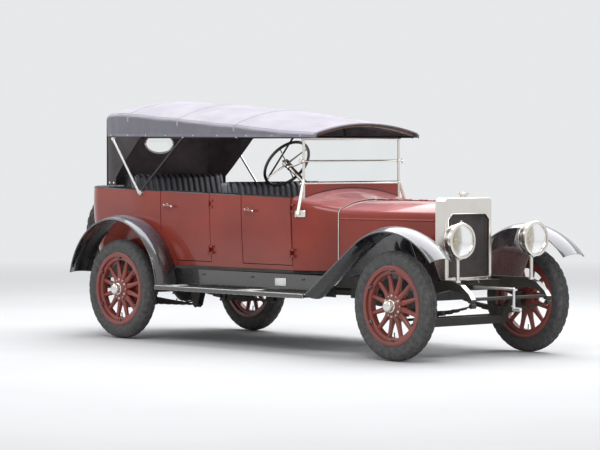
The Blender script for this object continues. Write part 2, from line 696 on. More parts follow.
def wheel_wood_shape():
    """Felloe and twelve spokes that meet as wedges at the hub."""
    s = Shape()
    stations = ((56, 14.4, 28, 6), (78, 20.2, 28, 6), (92, 23.6, 27, 5), (104, 23, 25, 3.4),
                (124, 21, 21.5, 2.5), (160, 19, 19, 2.1), (200, 17.6, 17.6, 2),
                (222, 17.2, 17.2, 2), (232, 17.8, 17.6, 2), (242, 20.5, 19.5, 2))
    for k in range(12):
        s.bar([spoke_row(*station, radians(15 + 30 * k)) for station in stations])
    y_lathe(s, [(-30, 243), (-26, 238.6), (-14, 237.2), (14, 237.2), (26, 238.6), (30, 243), (30, 268.5),
                (-30, 268.5)], 96, ring=True)
    return s


def rim_shape():
    """Steel rim channel with its curled flanges, wedges and bolts."""
    s = Shape()
    half = [(-47.5, 268.3), (-49.5, 272), (-49.5, 296), (-47, 300.5), (-44, 298), (-43.5, 291), (-40, 288.6)]
    y_lathe(s, half + [(-y, r) for y, r in reversed(half)], 120, ring=True)
    for k in range(6):
        turn = round_axle(radians(30 + 60 * k))
        s.box(250, 283, 28, 44, -15, 15, 3, 1, turn)
        x, _, z = turn((256, 34, 0))
        s.lathe([(0, TIP), (0, 9), (9, 9), (11, 6), (11, TIP)], (x, 40, z), "y", 6, 1)
        s.lathe([(0, 5), (18, 5), (20, TIP)], (x, 40, z), "y", 10, 1)
    # Valve stem through the felloe
    s.tube([(0, 6, -240), (0, 8, -222), (0, 10, -205)], [5, 5, 4], 10, 1)
    s.tube([(0, 10, -206), (0, 10.5, -198)], 6.5, 10, 1)
    return s


def hub_shape(drum):
    """Hub barrel, bolted flange plates, cap and brake drum."""
    s = Shape()
    y_lathe(s, [(28, 60), (28, 91), (31.5, 92.5), (34, 90), (34.5, 66), (37, 62), (52, 47), (54, 46)], 48, 1)
    y_lathe(s, [(-28, 60), (-28, 91), (-31.5, 92.5), (-36, 90), (-44, 62), (-44, 22)], 48, 1)
    for k in range(12):
        a = radians(30 * k)
        place = (78 * sin(a), 0, 78 * cos(a))
        if k % 2 == 0:
            s.knob([(34, 9), (41, 9), (43, 6.5)], place, "y", 6, 2)
            s.lathe([(41, 4.5), (47, 4.5), (48.5, TIP)], place, "y", 10, 2)
        else:
            s.knob([(34, 5), (37, 4.6), (38, 2.5)], place, "y", 12, 2)
    y_lathe(s, [(44, 45), (50, 48.5), (56, 49), (59, 46), (60, 41.5), (70, 41), (72, 42.5), (90, 42.5),
                (93, 41), (97, 37), (101, 29), (103.2, 18), (104, 8), (104, TIP)], 48)
    for a in circle(8):
        s.box(38, 44.5, 73, 89, -11.5, 11.5, 1.5, 0, round_axle(a))
    if drum:
        y_lathe(s, [(-36, 60), (-36, 146), (-38, 152), (-44, 155.5), (-60, 156), (-62, 158.6), (-66, 158.6),
                    (-68, 156), (-94, 156), (-96, 159), (-100, 159), (-100, 148)], 72, 1)
    return s


TRACK = 1.42  # metres
TYRE_SHAPE, WOOD_SHAPE, RIM_SHAPE = tyre_shape(), wheel_wood_shape(), rim_shape()
for end, axle_x in (("front", 0), ("rear", REAR_X)):
    for side, label in SIDES:
        name = end + "_" + label
        turn = Matrix.Rotation(pi, 4, "Z") if side < 0 else Matrix.Identity(4)
        place = Matrix.Translation((st(axle_x), side * TRACK / 2, AXLE_Z / 1000)) @ turn
        ride = {"body": "road_wheel_" + name, "local": place}
        node = ["wheel_" + name]
        TYRE_SHAPE.make("tyre_" + name + "_treaded", [TYRE], "tyre", ["tyre_" + name], 30, **ride)
        WOOD_SHAPE.make("wheel_" + name + "_spokes", [RED_WOOD], "wheel_wood", node, 50, **ride)
        RIM_SHAPE.make("wheel_" + name + "_rim", [RED_WOOD, BLACK], "wheel_rim", node, **ride)
        hub = hub_shape(end == "rear")
        hub.make("wheel_" + name + "_hub", [NICKEL, RED_WOOD, BRIGHT], "nickel", node, **ride)

spare_place = Matrix.Translation((-2.33, 0, 0.85)) @ Matrix.Rotation(pi / 2, 4, "Z")
TYRE_SHAPE.make("spare_tyre_treaded", [TYRE], "tyre", ["spare_tyre"], 30, local=spare_place)

# Hood
HOOD_FRONT, HOOD_REAR = -1050, -3658
BOW_X = (-1085, -1950, -2650, -3300)
TUB_Z = 1262  # lower edge of the curtain and the quarters' rear part
CLOTH = 0.0035  # thickness of the hood's cloth, metres
CORNER_R = 42
PATHS_X = [-1050, -1056, -1066]
while PATHS_X[-1] > -3600:
    PATHS_X.append(PATHS_X[-1] - 19)
PATHS_X += [-3624, -3636, -3646, -3654, HOOD_REAR]


def hood_at(x):
    """Corner, crown and half-width of the hood, rounded between its sections and slack between bows."""
    w = max(1, min(170, HOOD_FRONT - x, x + 3660))
    got = [table_at(HOOD_SECTIONS, x + w * k / 3) for k in range(-3, 4)]
    corner, crown, half = [sum(g[i] for g in got) / 7 for i in range(3)]
    slack = 0
    for a, b in zip(BOW_X[:-1], BOW_X[1:]):
        if b < x < a:
            slack = sin(pi * (a - x) / (a - b)) ** 2
    return corner - 3 * slack, crown - 11 * slack, half - 3 * slack


def hood_low(x):
    """Lower edge of the roof cloth's valance."""
    return 1660 + 12 * (-900 - x) / 2210


def quarter_low(x):
    """Lower edge of the dark quarter, sloping down from the valance to the body."""
    if x > -3150:
        return lerp(1672, 1654, (-3110 - x) / 40)
    if x > -3490:
        return lerp(1654, 1330, (-3150 - x) / 340)
    return TUB_Z


def from_bow(x):
    return min(abs(x - b) for b in BOW_X)


def creases(x, k, near):
    """Fine drawn creases that start at the bows and fade over the corners; k runs 0 hem to 1 crown."""
    pull = sin(x / 23 + 5 * k) * exp(-near / 210) + 0.7 * sin(x / 61 - 9 * k)
    return pull * exp(-((k - 0.36) / 0.2) ** 2)


def hood_row(x, out=0, wrinkled=True):
    """Full section of the roof cloth from the right hem over the crown to the left hem."""
    corner, crown, half = hood_at(x)
    low = hood_low(x)
    n_side = 10
    pts = arch(half + out, corner + out, crown + out, CORNER_R, n_side, 7, 18, low)
    wave = 2.6 * sin(x / 47) + 1.8 * sin(x / 19)
    right, left = [], []
    for i, (y, z) in enumerate(pts):
        t = smooth((corner - z) / max(corner - low, 1)) if i <= n_side else 0
        move = t * wave * smooth(from_bow(x) / 160) - 2 * t
        for side, row, shift in ((-1, right, 0), (1, left, 700)):
            near = from_bow(x + shift)
            soft = creases(x + shift, i / (len(pts) - 1), near) if wrinkled else 0
            push = 1.2 * soft if i <= n_side + 3 else 0
            lift = 0 if i <= n_side else 1.6 * soft
            row.append((x, side * (y + move + push), z + lift))
    return right + list(reversed(left[:-1]))


def shown_mesh(obj):
    """Replaces an object's mesh by its mesh with modifiers applied."""
    bpy.context.view_layer.update()
    dg = bpy.context.evaluated_depsgraph_get()
    mesh = bpy.data.meshes.new_from_object(obj.evaluated_get(dg))
    obj.modifiers.clear()
    obj.data = mesh


def cloth_piece(shape, name, mats):
    """Files a sheet of the hood with its thickness, inwards, and its own lining."""
    obj = shape.make(name, mats, "hood_cloth", ["hood_canvas"], 60)
    mod = obj.modifiers.new("thickness", "SOLIDIFY")
    mod.thickness = CLOTH
    mod.offset = -1
    mod.material_offset = 1
    mod.material_offset_rim = 2
    shown_mesh(obj)
    shade_smooth(obj.data, 60)
    return obj


roof_piece = cloth_piece(Shape().grid([hood_row(x) for x in PATHS_X]), "hood_cloth", [HOOD, LINING, HEM])

# Dark quarters, tucked up behind the valance
quarter_x = [-3110, -3130, -3150] + [-3150 - 17 * i for i in range(1, 20)] + [-3489.9, -3491]
quarter_x += [-3491 - 18.5 * i for i in range(1, 9)] + [-3650, -3656]
for side, label in SIDES:
    rows = []
    for x in quarter_x:
        row = []
        for z in steps(quarter_low(x), 1692, 18):
            free = sin(pi * max(0, min(1, (1692 - z) / 430)))
            folds = 2.2 * free * sin(x / 37 + z / 90) + 1.2 * sin(z / 23 + x / 60) * free
            y = hood_at(x)[2] - 4 - 5 * free + folds
            row.append((x, side * y, z))
        rows.append(row)
    quarter = Shape().grid(rows, 0, flip=side > 0)
    cloth_piece(quarter, "hood_quarter_" + label, [QUARTER, LINING, TRIM])

# Rear curtain with its oval window
WINDOW_Z = 1614
corner, crown, half = hood_at(HOOD_REAR)
rear_row = whole(arch(half, corner, crown, CORNER_R, 14, 7, 18, TUB_Z), HOOD_REAR)
hem = [(HOOD_REAR, lerp(rear_row[-1][1], rear_row[0][1], i / 12), TUB_Z) for i in range(1, 12)]
rows = []
for t in steps(0, 1, 14):
    row = []
    for x, y, z in rear_row + hem:
        a = atan2((z - WINDOW_Z) / 79, y / 150)
        fold = 2.6 * sin(y / 34 + z / 160) + 1.6 * sin(z / 29 + y / 80)
        belly = (5 + fold) * sin(pi * t) ** 0.8
        row.append((x + belly, lerp(y, 152 * cos(a), t), lerp(z, WINDOW_Z + 81 * sin(a), t)))
    rows.append(row)
curtain_piece = cloth_piece(Shape().grid(rows, wrap=True, flip=True), "rear_curtain", [QUARTER, LINING, TRIM])


def ring_of(a, b, x):
    """Oval round the rear window."""
    return [(x, a * cos(t), WINDOW_Z + b * sin(t)) for t in circle(64)]


trim = Shape()
trim.tube(ring_of(156, 85, -3657.5), 6.5, 10, 1, closed=True, squash=0.8)
trim.tube(ring_of(150, 79, -3654), 5, 10, 1, closed=True)
# Piping round the rear edge, hem bands, roof seams and corner welts
trim.tube([p for p in rear_row if p[2] > 1672], 5, 8)
for k in (-1, 1):
    trim.tube([p for p in rear_row if p[2] < 1700 and p[1] * k > 0], 4.6, 8, 3)
    band, welt = [], []
    for x in PATHS_X:
        row = hood_row(x)
        if k > 0:
            row = row[::-1]
        _, y, z = row[0]
        band.append([(x, y + dy * k, z + dz) for dy, dz in
                     ((-4.6, -1.5), (2.6, -1.5), (3, 8), (2.6, 19), (-0.5, 20.5), (-4.6, 20))])
        px, py, pz = row[16]
        welt.append((px, py + 0.4 * k, pz + 0.4))
    trim.bar(band, flip=k < 0)
    trim.tube(welt, 2, 6, 2)
    # Bound front edge of the quarter
    slope = []
    for x in (-3112, -3150, -3235, -3320, -3405, -3488):
        free = sin(pi * (1692 - quarter_low(x)) / 430)
        slope.append((x, k * (hood_at(x)[2] - 5 - 5 * free), quarter_low(x)))
    slope.append((-3490, k * (hood_at(-3490)[2] - 5), 1264))
    trim.tube(slope, 4.2, 8, 3)
for x in BOW_X[1:]:
    trim.grid([hood_row(x + dx, dz, wrinkled=False)[8:-8] for dx, dz in
               ((-9, -0.4), (-8, 0.9), (8, 0.9), (9, -0.4))], 2)
front_rows = []
for dx, dz in ((-26, -0.6), (-25, 1.8), (2, 1.8), (3, -2.5), (0, -6.5)):
    front_rows.append([(a + max(dx, 0), b, c) for a, b, c in hood_row(HOOD_FRONT + min(dx, 0), dz)])
trim.grid(front_rows)
trim_piece = trim.make("hood_binding", [HEM, NICKEL, SEAM, TRIM], "hood_cloth", ["hood_canvas"], 50)

studs = Shape()
for side in (-1, 1):
    for i in range(5):
        place = (-3659.5, side * (90 + 105 * i), 1282)
        studs.lathe([(0, 9), (-3, 8.5), (-5.5, 5), (-6.5, TIP)], place, "x", 14)
    for x in (-3520, -3590):
        profile = [(0, 9), (3 * side, 8.5), (5.5 * side, 5), (6.5 * side, TIP)]
        studs.lathe(profile, (x, side * (hood_at(x)[2] - 5.5), 1284), "y", 14)
    for x in (-1200, -1500, -1800, -2150, -2450, -2800, -3060, -3300, -3560):
        _, y, z = hood_row(x)[0]
        profile = [(0, 6), (2 * side, 5.5), (3.5 * side, 3), (4 * side, TIP)]
        studs.lathe(profile, (x, side * (abs(y) + 2.6), z + 9), "y", 12)
stud_piece = studs.make("hood_studs", [NICKEL], "nickel")

# Frame of the hood: rails, irons, ash bows with iron sockets
hood_frame = Shape()
rail_rows = []
for x, y in ((-1077, 522), (-1350, 570), (-1950, 588), (-3080, 596), (-3308, 594)):
    rail_rows.append([(x, y + 4, 1657.5), (x, y + 4, 1672.5), (x, y + 2.5, 1674), (x, y - 2.5, 1674),
                      (x, y - 4, 1672.5), (x, y - 4, 1657.5), (x, y - 2.5, 1656), (x, y + 2.5, 1656)])
hood_frame.bar(rail_rows)


def flat_iron(shape, p0, p1, w, t, mat):
    """Forged flat bar between two points, rounded at its ends."""
    a, b = Vector(p0), Vector(p1)
    d = (b - a).normalized()
    flat = Vector((0, 1, 0))
    flat = (flat - d * flat.dot(d)).normalized()
    wide = d.cross(flat)
    long = (b - a).length
    half = [(1, 0.35), (0.85, 1), (0, 1.25), (-0.85, 1), (-1, 0.35)]
    rows = []
    for u in steps(0, 1, 10):
        s = 1 + 0.35 * exp(-((u * long) / 26) ** 2) + 0.35 * exp(-(((1 - u) * long) / 26) ** 2)
        c = a + (b - a) * u
        ring = half + [(-p, -q) for p, q in half]
        rows.append([c + wide * (w * s * ca) + flat * (t * sa) for ca, sa in ring])
    shape.bar(rows, mat)


flat_iron(hood_frame, (-3090, 670, 1206), (-3470, 645, 1652), 10.5, 5, 1)
flat_iron(hood_frame, (-3096, 660, 1210), (-2606, 600, 1664), 8, 4, 0)
hood_frame.knob([(-34, 20), (0, 20), (3, 17)], (-3090, 664, 1206), "y", 28, 1)
hood_frame.knob([(0, 11), (6, 11), (9, 7)], (-3090, 667, 1206), "y", 6, 1)
hood_frame.knob([(-36, 13), (0, 13), (3, 10)], (-3470, 655, 1652), "y", 20, 1)
for place in ((-2606, 600, 1664), (-3308, 594, 1665), (-1950, 590, 1665)):
    hood_frame.knob([(-10, 9), (5, 9), (7, 6)], place, "y", 16, 1)
hood_frame.both()
BOW_SECTION = ((-15, 3), (-12, 0), (12, 0), (15, 3), (15, 12), (12, 15), (-12, 15), (-15, 12))
for x, reach in zip(BOW_X, (522, 588, 593, 594)):
    corner, crown, half = table_at(HOOD_SECTIONS, x)
    h = half - 14
    sag = crown - corner
    big = (h * h + sag * sag) / (2 * sag)
    low = crown - 14 - big
    r_top = big - 1.5
    rows = []
    for y in steps(-(h - 40), h - 40, 32):
        a = acos(y / r_top)
        rows.append([(x + dx, (r_top - dr) * cos(a), low + (r_top - dr) * sin(a)) for dx, dr in BOW_SECTION])
    hood_frame.bar(rows, 2)

    def under_bow(y):
        return low + sqrt((r_top - 8) ** 2 - y * y)

    z1 = under_bow(h - 26)
    path = [(h - 130, under_bow(h - 130)), (h - 60, under_bow(h - 60)), (h - 36, z1 - 3), (h - 28, z1 - 18),
            (lerp(h - 28, reach, 0.5), lerp(z1 - 18, 1662, 0.5)), (reach, 1662)]
    for k in (1, -1):
        hood_frame.tube([(x, k * y, z) for y, z in path], [9, 9.2, 8.6, 8, 7.5, 7])
hood_frame.make("hood_frame", [IRONS, BRIGHT, BOW_WOOD], "hood_iron", ["hood_irons"], 40)

# Glass, lamps and radiator
glass = Shape()
for z0, z1 in ((1305, 1471), (1475, 1643)):
    glass.box(-1238.6, -1233.4, -506, 506, z0, z1, 1.2)
glass.make("screen_glass", [GLASS], "glass", ["glass_panes"])
rows = []
for x, k in ((-3652.4, 0.985), (-3653, 1), (-3650.6, 1), (-3650, 0.985)):
    rows.append([(x, y * k, WINDOW_Z + (z - WINDOW_Z) * k) for _, y, z in ring_of(150.5, 79.5, x)])
Shape().bar(rows).make("rear_window_glass", [GLASS], "glass", ["glass_panes"])

LAMP_X, LAMP_Y, LAMP_Z = 344, 395, 893
POST_X = LAMP_X - 10
lens, mirror, rimmed = Shape(), Shape(), Shape()
for side in (-1, 1):
    y = side * LAMP_Y
    c = (LAMP_X, y, LAMP_Z)
    prof = [(33, TIP)] + [(33, r) for r in (30, 60, 90)] + [(33, 113.2), (37, 113.4)]
    prof += [(37 + 13 * (1 - (r / 113.4) ** 2), r) for r in (106, 92, 76, 58, 38, 18, TIP)]
    lens.lathe(prof, c, "x", 64)
    bowl = [(-88 + 104 * (r / 112) ** 2, r) for r in (16, 28, 42, 56, 70, 84, 96, 106, 112.6)]
    mirror.lathe(bowl, c, "x", 64)
    # Bulb with its cap and holder
    mirror.lathe([(-90, TIP), (-90, 17), (-66, 17), (-64, 13), (-52, 12), (-50, 9)], c, "x", 24, 1)
    bulb = [(-50, 9), (-44, 13), (-34, 17.5), (-22, 19), (-11, 15.5), (-4, 9), (-1, TIP)]
    mirror.lathe(bulb, c, "x", 24, 2)
    # Rim with a rolled edge, a hinge below and a catch above
    rimmed.lathe([(16, 126), (17, 132.6), (24, 134), (30, 132.8), (38, 132.8), (46, 132), (51, 127),
                  (52, 121), (50, 115.2), (44, 113.6), (40, 113.8), (38, 118)], c, "x", 72)
    rimmed.lathe([(-40, 116), (-38, 118.4), (-35, 118.4), (-33, 117)], c, "x", 64)
    rimmed.box(LAMP_X + 12, LAMP_X + 46, y - 14, y + 14, LAMP_Z + 128, LAMP_Z + 139, 3)
    rimmed.knob([(0, 6), (12, 6), (14, 3)], (LAMP_X + 28, y, LAMP_Z + 136), "z", 12)
    rimmed.lathe([(-14, 6), (14, 6)], (LAMP_X + 14, y, LAMP_Z - 135), "y", 12, caps=True)
    # Ventilator on the bowl's back
    rimmed.lathe([(-126, TIP), (-126, 18), (-121, 20), (-116, 20), (-114, 14)], c, "x", 24)
    # Nut and collar where the post meets the fork and the rail
    rimmed.lathe([(-6, TIP), (-6, 19), (8, 19), (10, 15)], (POST_X, y, 783), "z", 6)
    rimmed.lathe([(0, 25), (6, 25), (9, 21), (9, 15)], (POST_X, y, 590), "z")
    for a in circle(4, pi / 4):
        rimmed.lathe([(0, 4), (3, 4), (4, TIP)], (POST_X + 19 * cos(a), y + 19 * sin(a), 598), "z", 6)
lens.make("lamp_lenses", [LENS], "glass", ["glass_panes"])
mirror.make("lamp_reflectors", [SILVERED, BRASS, LENS], "nickel")
rimmed.make("lamp_rims", [NICKEL], "nickel")

core = Shape()
for i in range(30):
    y = (i - 14.5) * 14
    top = 1074 - max(0, abs(y) - 176)
    core.box(43, 49.8, y - 1.2, y + 1.2, 608, top, 0.4)
for z in steps(610, 1074, 67):
    w = 214 - max(0, z - 1040)
    core.box(43, 50.6, -w, w, z - 0.8, z + 0.8, 0.3)
core.make("radiator_grid", [FINS], "radiator_core")

face = Shape()
outline = ((219, 602), (219, 1040), (177, 1082), (-177, 1082), (-219, 1040), (-219, 602))
outline = [(60.6, y, z) for y, z in outline]
face.tube(outline, 4.2, closed=True)
# Filler neck, hinged cap and its wings
face.lathe([(1200, TIP), (1200, 31), (1206, 31), (1208, 28), (1224, 27.4)], (8, 0, 0), "z", 40)
cap = [(1222, 30), (1224, 39), (1228, 40), (1236, 40), (1240, 38), (1243, 30), (1245.5, 16), (1246, TIP)]
face.lathe(cap, (8, 0, 0), "z", 40)
for a in circle(20):
    c, d = cos(a), sin(a)
    face.box(38, 41.6, -2.4, 2.4, 1226, 1238, 0.8, 0,
             lambda p, c=c, d=d: (8 + p[0] * c - p[1] * d, p[0] * d + p[1] * c, p[2]))
# Drain tap and the plain bolts of the bottom tank
face.tube([(40, 120, 590), (40, 120, 566), (52, 120, 560)], [7, 6, 5])
for y in (-200, -100, 0, 100, 200):
    face.knob([(60, 6), (63, 6), (64.5, 3.5)], (0, y, 589), "x", 6)
face.make("radiator_fittings", [NICKEL], "nickel")

# Mudguards and running boards
SWEEP = radians(36)  # slope of the front mudguard's straight run, from the vertical of the rear arc
LINE_X = -560 * sin(SWEEP)
LINE_Z = 402 + 560 * cos(SWEEP)
GUARD_Y = 711  # middle of a mudguard's width


def front_line(n=1):
    """Side-view line of the front mudguard from its tip to the running board: (x, z, nx, nz)."""
    pts = []
    tip = degrees(atan2(437, 480))
    for r, z0, a0, a1, count in ((649, 313, tip, 90, 13 * n), (560, 402, 90, 126, 9 * n)):
        for i in range(count + (a1 > 90)):
            a = radians(lerp(a0, a1, i / count))
            pts.append((r * cos(a), z0 + r * sin(a), cos(a), sin(a)))
    c, d = cos(SWEEP), sin(SWEEP)
    for t in steps(0, (LINE_Z - 456) / d, 6)[1:]:
        pts.append((LINE_X - c * t, LINE_Z - d * t, -d, c))
    return pts


def rear_line():
    angles = [radians(a) for a in steps(5.5, 168, 34)]
    return [(REAR_X + 580 * cos(a), AXLE_Z + 580 * sin(a), cos(a), sin(a)) for a in angles]


beads = Shape()
for line in (front_line(), rear_line()):
    beads.tube([(x, 823.4, z) for x, z, _, _ in line], 6.2, 12, 0, up=(0, 1, 0))
beads.both().make("guard_beads", [BEAD], "black_enamel")

# Crowned skin over the straight run of the front mudguard and the plate that closes its upper end
skin = Shape()
ACROSS = steps(-1, 1, 16)
rows = []
for x, z, nx, nz in front_line(2)[-9:]:
    top = [(GUARD_Y + 112.5 * u, 38 * (1 - u * u)) for u in ACROSS]
    rows.append([(x + nx * h, y, z + nz * h) for y, h in top + [(y, h - 3.5) for y, h in reversed(top)]])
skin.bar(rows)
x, z, nx, nz = front_line(2)[-7]
ends = [(GUARD_Y + 111.5 * u, 1 - u ** 2) for u in ACROSS]
loop = [(y, 35 * h) for y, h in ends] + [(y, -37 * h) for y, h in reversed(ends[1:-1])]
skin.bar([[(x - nz * k + nx * h, y, z + nx * k + nz * h) for y, h in loop] for k in (0, 3)])
skin.both().make("guard_sweep_skins", [GUARD], "black_enamel")

fixings = Shape()
for x, z, nx, nz in front_line()[3::4]:
    fixings.knob([(-2, 6), (3.2, 6), (4.6, 3)], (x + nx * 5, 626, z + nz * 5), "z", 10)
for x in (-1150, -1750, -2350):
    for y in (640, 760):
        fixings.knob([(0, 9), (1.6, 8.6), (3.4, 4)], (x, y, 461.5), "z", 14)
    for dx in (-12, 12):
        fixings.knob([(0, 7), (5, 7), (6.5, 4.5)], (x + dx, 597, 560), "y", 6)
fixings.both().make("guard_rivets", [BLACK], "black_enamel")

board = Shape()
profile = [(602, 457.5)]
y = 606
while y < 808:
    profile += [(y, 459.6), (y + 1.6, 463.4), (y + 6, 463.4), (y + 7.6, 459.6)]
    y += 12.2
profile.append((812.5, 457.5))
board.grid([[(x, y, z) for y, z in profile] for x in (-905, -1400, -2000, -2400, -2685)], flip=True)
for x in (-903, -2687):
    board.box(x - 5, x + 5, 601, 816, 457, 465, 2, 1)
edge = ((813, 457.5), (813, 464), (815, 465.6), (827, 465.6), (829.8, 463), (829.8, 433), (828, 430.6),
        (824, 430.6), (824, 457.5))
board.bar([[(x, y, z) for y, z in edge] for x in (-898, -2692)], 1)
for x in (-950, -1250, -1550, -1850, -2150, -2450, -2650):
    board.lathe([(0, 4), (1.2, 3.6), (1.8, TIP)], (x, 820, 465.4), "z", 10, 1)
# Blank plate on the apron and the door treads
board.box(-1475, -1345, 596.5, 602, 500, 562, 3, 1)
for x in (-1465, -1355):
    for z in (508, 554):
        board.lathe([(0, 4), (2, 3.6), (3, TIP)], (x, 602, z), "y", 10, 1)
for x in (-1620, -2560):
    board.box(x - 95, x + 95, 640, 790, 463.2, 466, 1.4, 1)
    for i in range(9):
        y = 653 + i * 15.2
        board.box(x - 84, x + 84, y, y + 4, 465.6, 468.6, 1.2, 1)
board.both().make("board_covers", [MAT, BRIGHT, BLACK], "floor_cover")

# Springs
leaves = Shape()
SPRING_Y = 405


def arc_z(x, a, m, b):
    """Height on the circle through three points."""
    (x1, z1), (x2, z2), (x3, z3) = a, m, b
    s1, s2, s3 = x1 ** 2 + z1 ** 2, x2 ** 2 + z2 ** 2, x3 ** 2 + z3 ** 2
    d = 2 * (x1 * (z2 - z3) + x2 * (z3 - z1) + x3 * (z1 - z2))
    ux = (s1 * (z2 - z3) + s2 * (z3 - z1) + s3 * (z1 - z2)) / d
    uz = (s1 * (x3 - x2) + s2 * (x1 - x3) + s3 * (x2 - x1)) / d
    r = hypot(x1 - ux, z1 - uz)
    return uz - sqrt(r * r - (x - ux) ** 2)


def spring(x0, z0, x1, z1, low, thick, eye, clamp_x):
    """Leaf pack between two eyes, with its pins, U-bolts and clips."""
    mid = (x0 + x1) / 2

    def place(u):
        x = mid + u * (x1 - x0) / 2
        return x, arc_z(x, (x0, z0 + 4), (mid, low + thick), (x1, z1 + 4))

    h = thick / 6
    for i in range(6):
        f = 1 - 0.15 * i
        rows = []
        for u in steps(-f, f, 24):
            x, z = place(u)
            z -= i * h
            w = 22 if abs(u) < f - 0.02 or (i == 0 and abs(u) > 0.97) else 15
            half = [(-w, -0.6), (1.5 - w, 0), (w - 1.5, 0), (w, -0.6), (w, 0.9 - h), (w - 1.5, 0.3 - h),
                    (1.5 - w, 0.3 - h), (-w, 0.9 - h)]
            rows.append([(x, SPRING_Y + dy, z + dz) for dy, dz in half])
        leaves.bar(rows)
    for x, z in ((x0, z0), (x1, z1)):
        leaves.lathe([(383, eye), (427, eye)], (x, 0, z), "y", 24, caps=True)
        leaves.lathe([(376, TIP), (376, 9), (381, 11), (429, 11), (434, 9), (434, TIP)], (x, 0, z), "y", 6, 1)
    for x in (clamp_x - 34, clamp_x + 34):
        bolt = ((379, -18), (379, thick + 4), (384, thick + 9))
        bolt += ((426, thick + 9), (431, thick + 4), (431, -18))
        leaves.tube([(x, y, low + dz) for y, dz in bolt], 5.5, 10, 1)
        for y in (379, 431):
            leaves.lathe([(-20, TIP), (-20, 9), (-11, 9), (-10, 6)], (x, y, low), "z", 6, 1)
    for u in (-0.62, 0.62):
        x, z = place(u)
        leaves.box(x - 9, x + 9, 380, 430, z - 23, z + 2.5, 2, 1)


spring(-480, 430, 500, 416.9, 318, 46, 19, 10)
spring(-2655, 292, -3860, 400, 288, 50, 20, -3258)
leaves.box(-3312, -3208, 383, 427, 330, 350.5, 3)
for x, z0, z1 in ((-480, 424, 500), (-3860, 394, 470)):
    for y in (379, 431):
        leaves.box(x - 13, x + 13, y - 4, y + 4, z0 - 12, z1 + 6, 3, 1)
leaves.box(-500, -460, 383, 427, 470, 499.7, 3, 1)
leaves.box(-3872, -3846, 383, 427, 440, 469.7, 3, 1)
leaves.both().make("leaf_packs", [CHASSIS, DARK_IRON], "chassis_paint", ["leaf_springs"])


# Body trim
def outward(pts, i):
    """Level direction square to a path at one of its points."""
    t = pts[min(i + 1, len(pts) - 1)] - pts[max(i - 1, 0)]
    t.z = 0
    t.normalize()
    return Vector((t.y, -t.x, 0))


def roll(path):
    """Padded leather roll on the body's top edge, with domed ends and welts."""
    s = Shape()
    pts = [Vector(p) for p in path]
    length = [0]
    for a, b in zip(pts[:-1], pts[1:]):
        length.append(length[-1] + (b - a).length)
    rows = []
    for i, p in enumerate(pts):
        out = outward(pts, i)
        d = min(length[i], length[-1] - length[i])
        k = sqrt(max(0.02, 1 - (1 - min(1, d / 18)) ** 2))
        pucker = 1 + 0.02 * sin(length[i] / 9)
        row = []
        for j in range(15):
            a = pi * (j / 14)
            h = 21 * 0.62 * sin(a) ** 0.8
            row.append(p + out * (24.5 * cos(a)) * lerp(0.75, 1, k) + Vector((0, 0, h * k * pucker - 1)))
        row += [p - out * 22 + Vector((0, 0, -5)), p + out * 22 + Vector((0, 0, -5))]
        rows.append(row)
    s.bar(rows)
    for side in (-1, 1):
        line = [p + outward(pts, i) * 24.6 * side + Vector((0, 0, 0.2)) for i, p in enumerate(pts)]
        s.tube(line, 2.6, 6, 1)
    return s


def edge_path(x0, x1):
    """Middle of the body's top edge between two places."""
    n = max(2, int(abs(x1 - x0) / 60))
    return [(x, side_y(x) - 22.5, belt_z(x)) for x in steps(x0, x1, n)]


DOORS = (("front", -1303, -1868), ("rear", -2253, -2848))
for kind, x0, x1 in DOORS:
    door = "door_" + kind + "_%s"
    roll(edge_path(x0 - 4, x1 + 4)).make_sides(door + "_roll", [TRIM, LEATHER], "seat_leather", door)
roll(edge_path(-1879, -2244)).both().make("pillar_rolls", [TRIM, LEATHER], "seat_leather")
half = tail_path(-2860, 22.5, belt_z)
around = half + [(x, -y, z) for x, y, z in reversed(half[:-1])]
roll(around).make("tail_roll", [TRIM, LEATHER], "seat_leather")


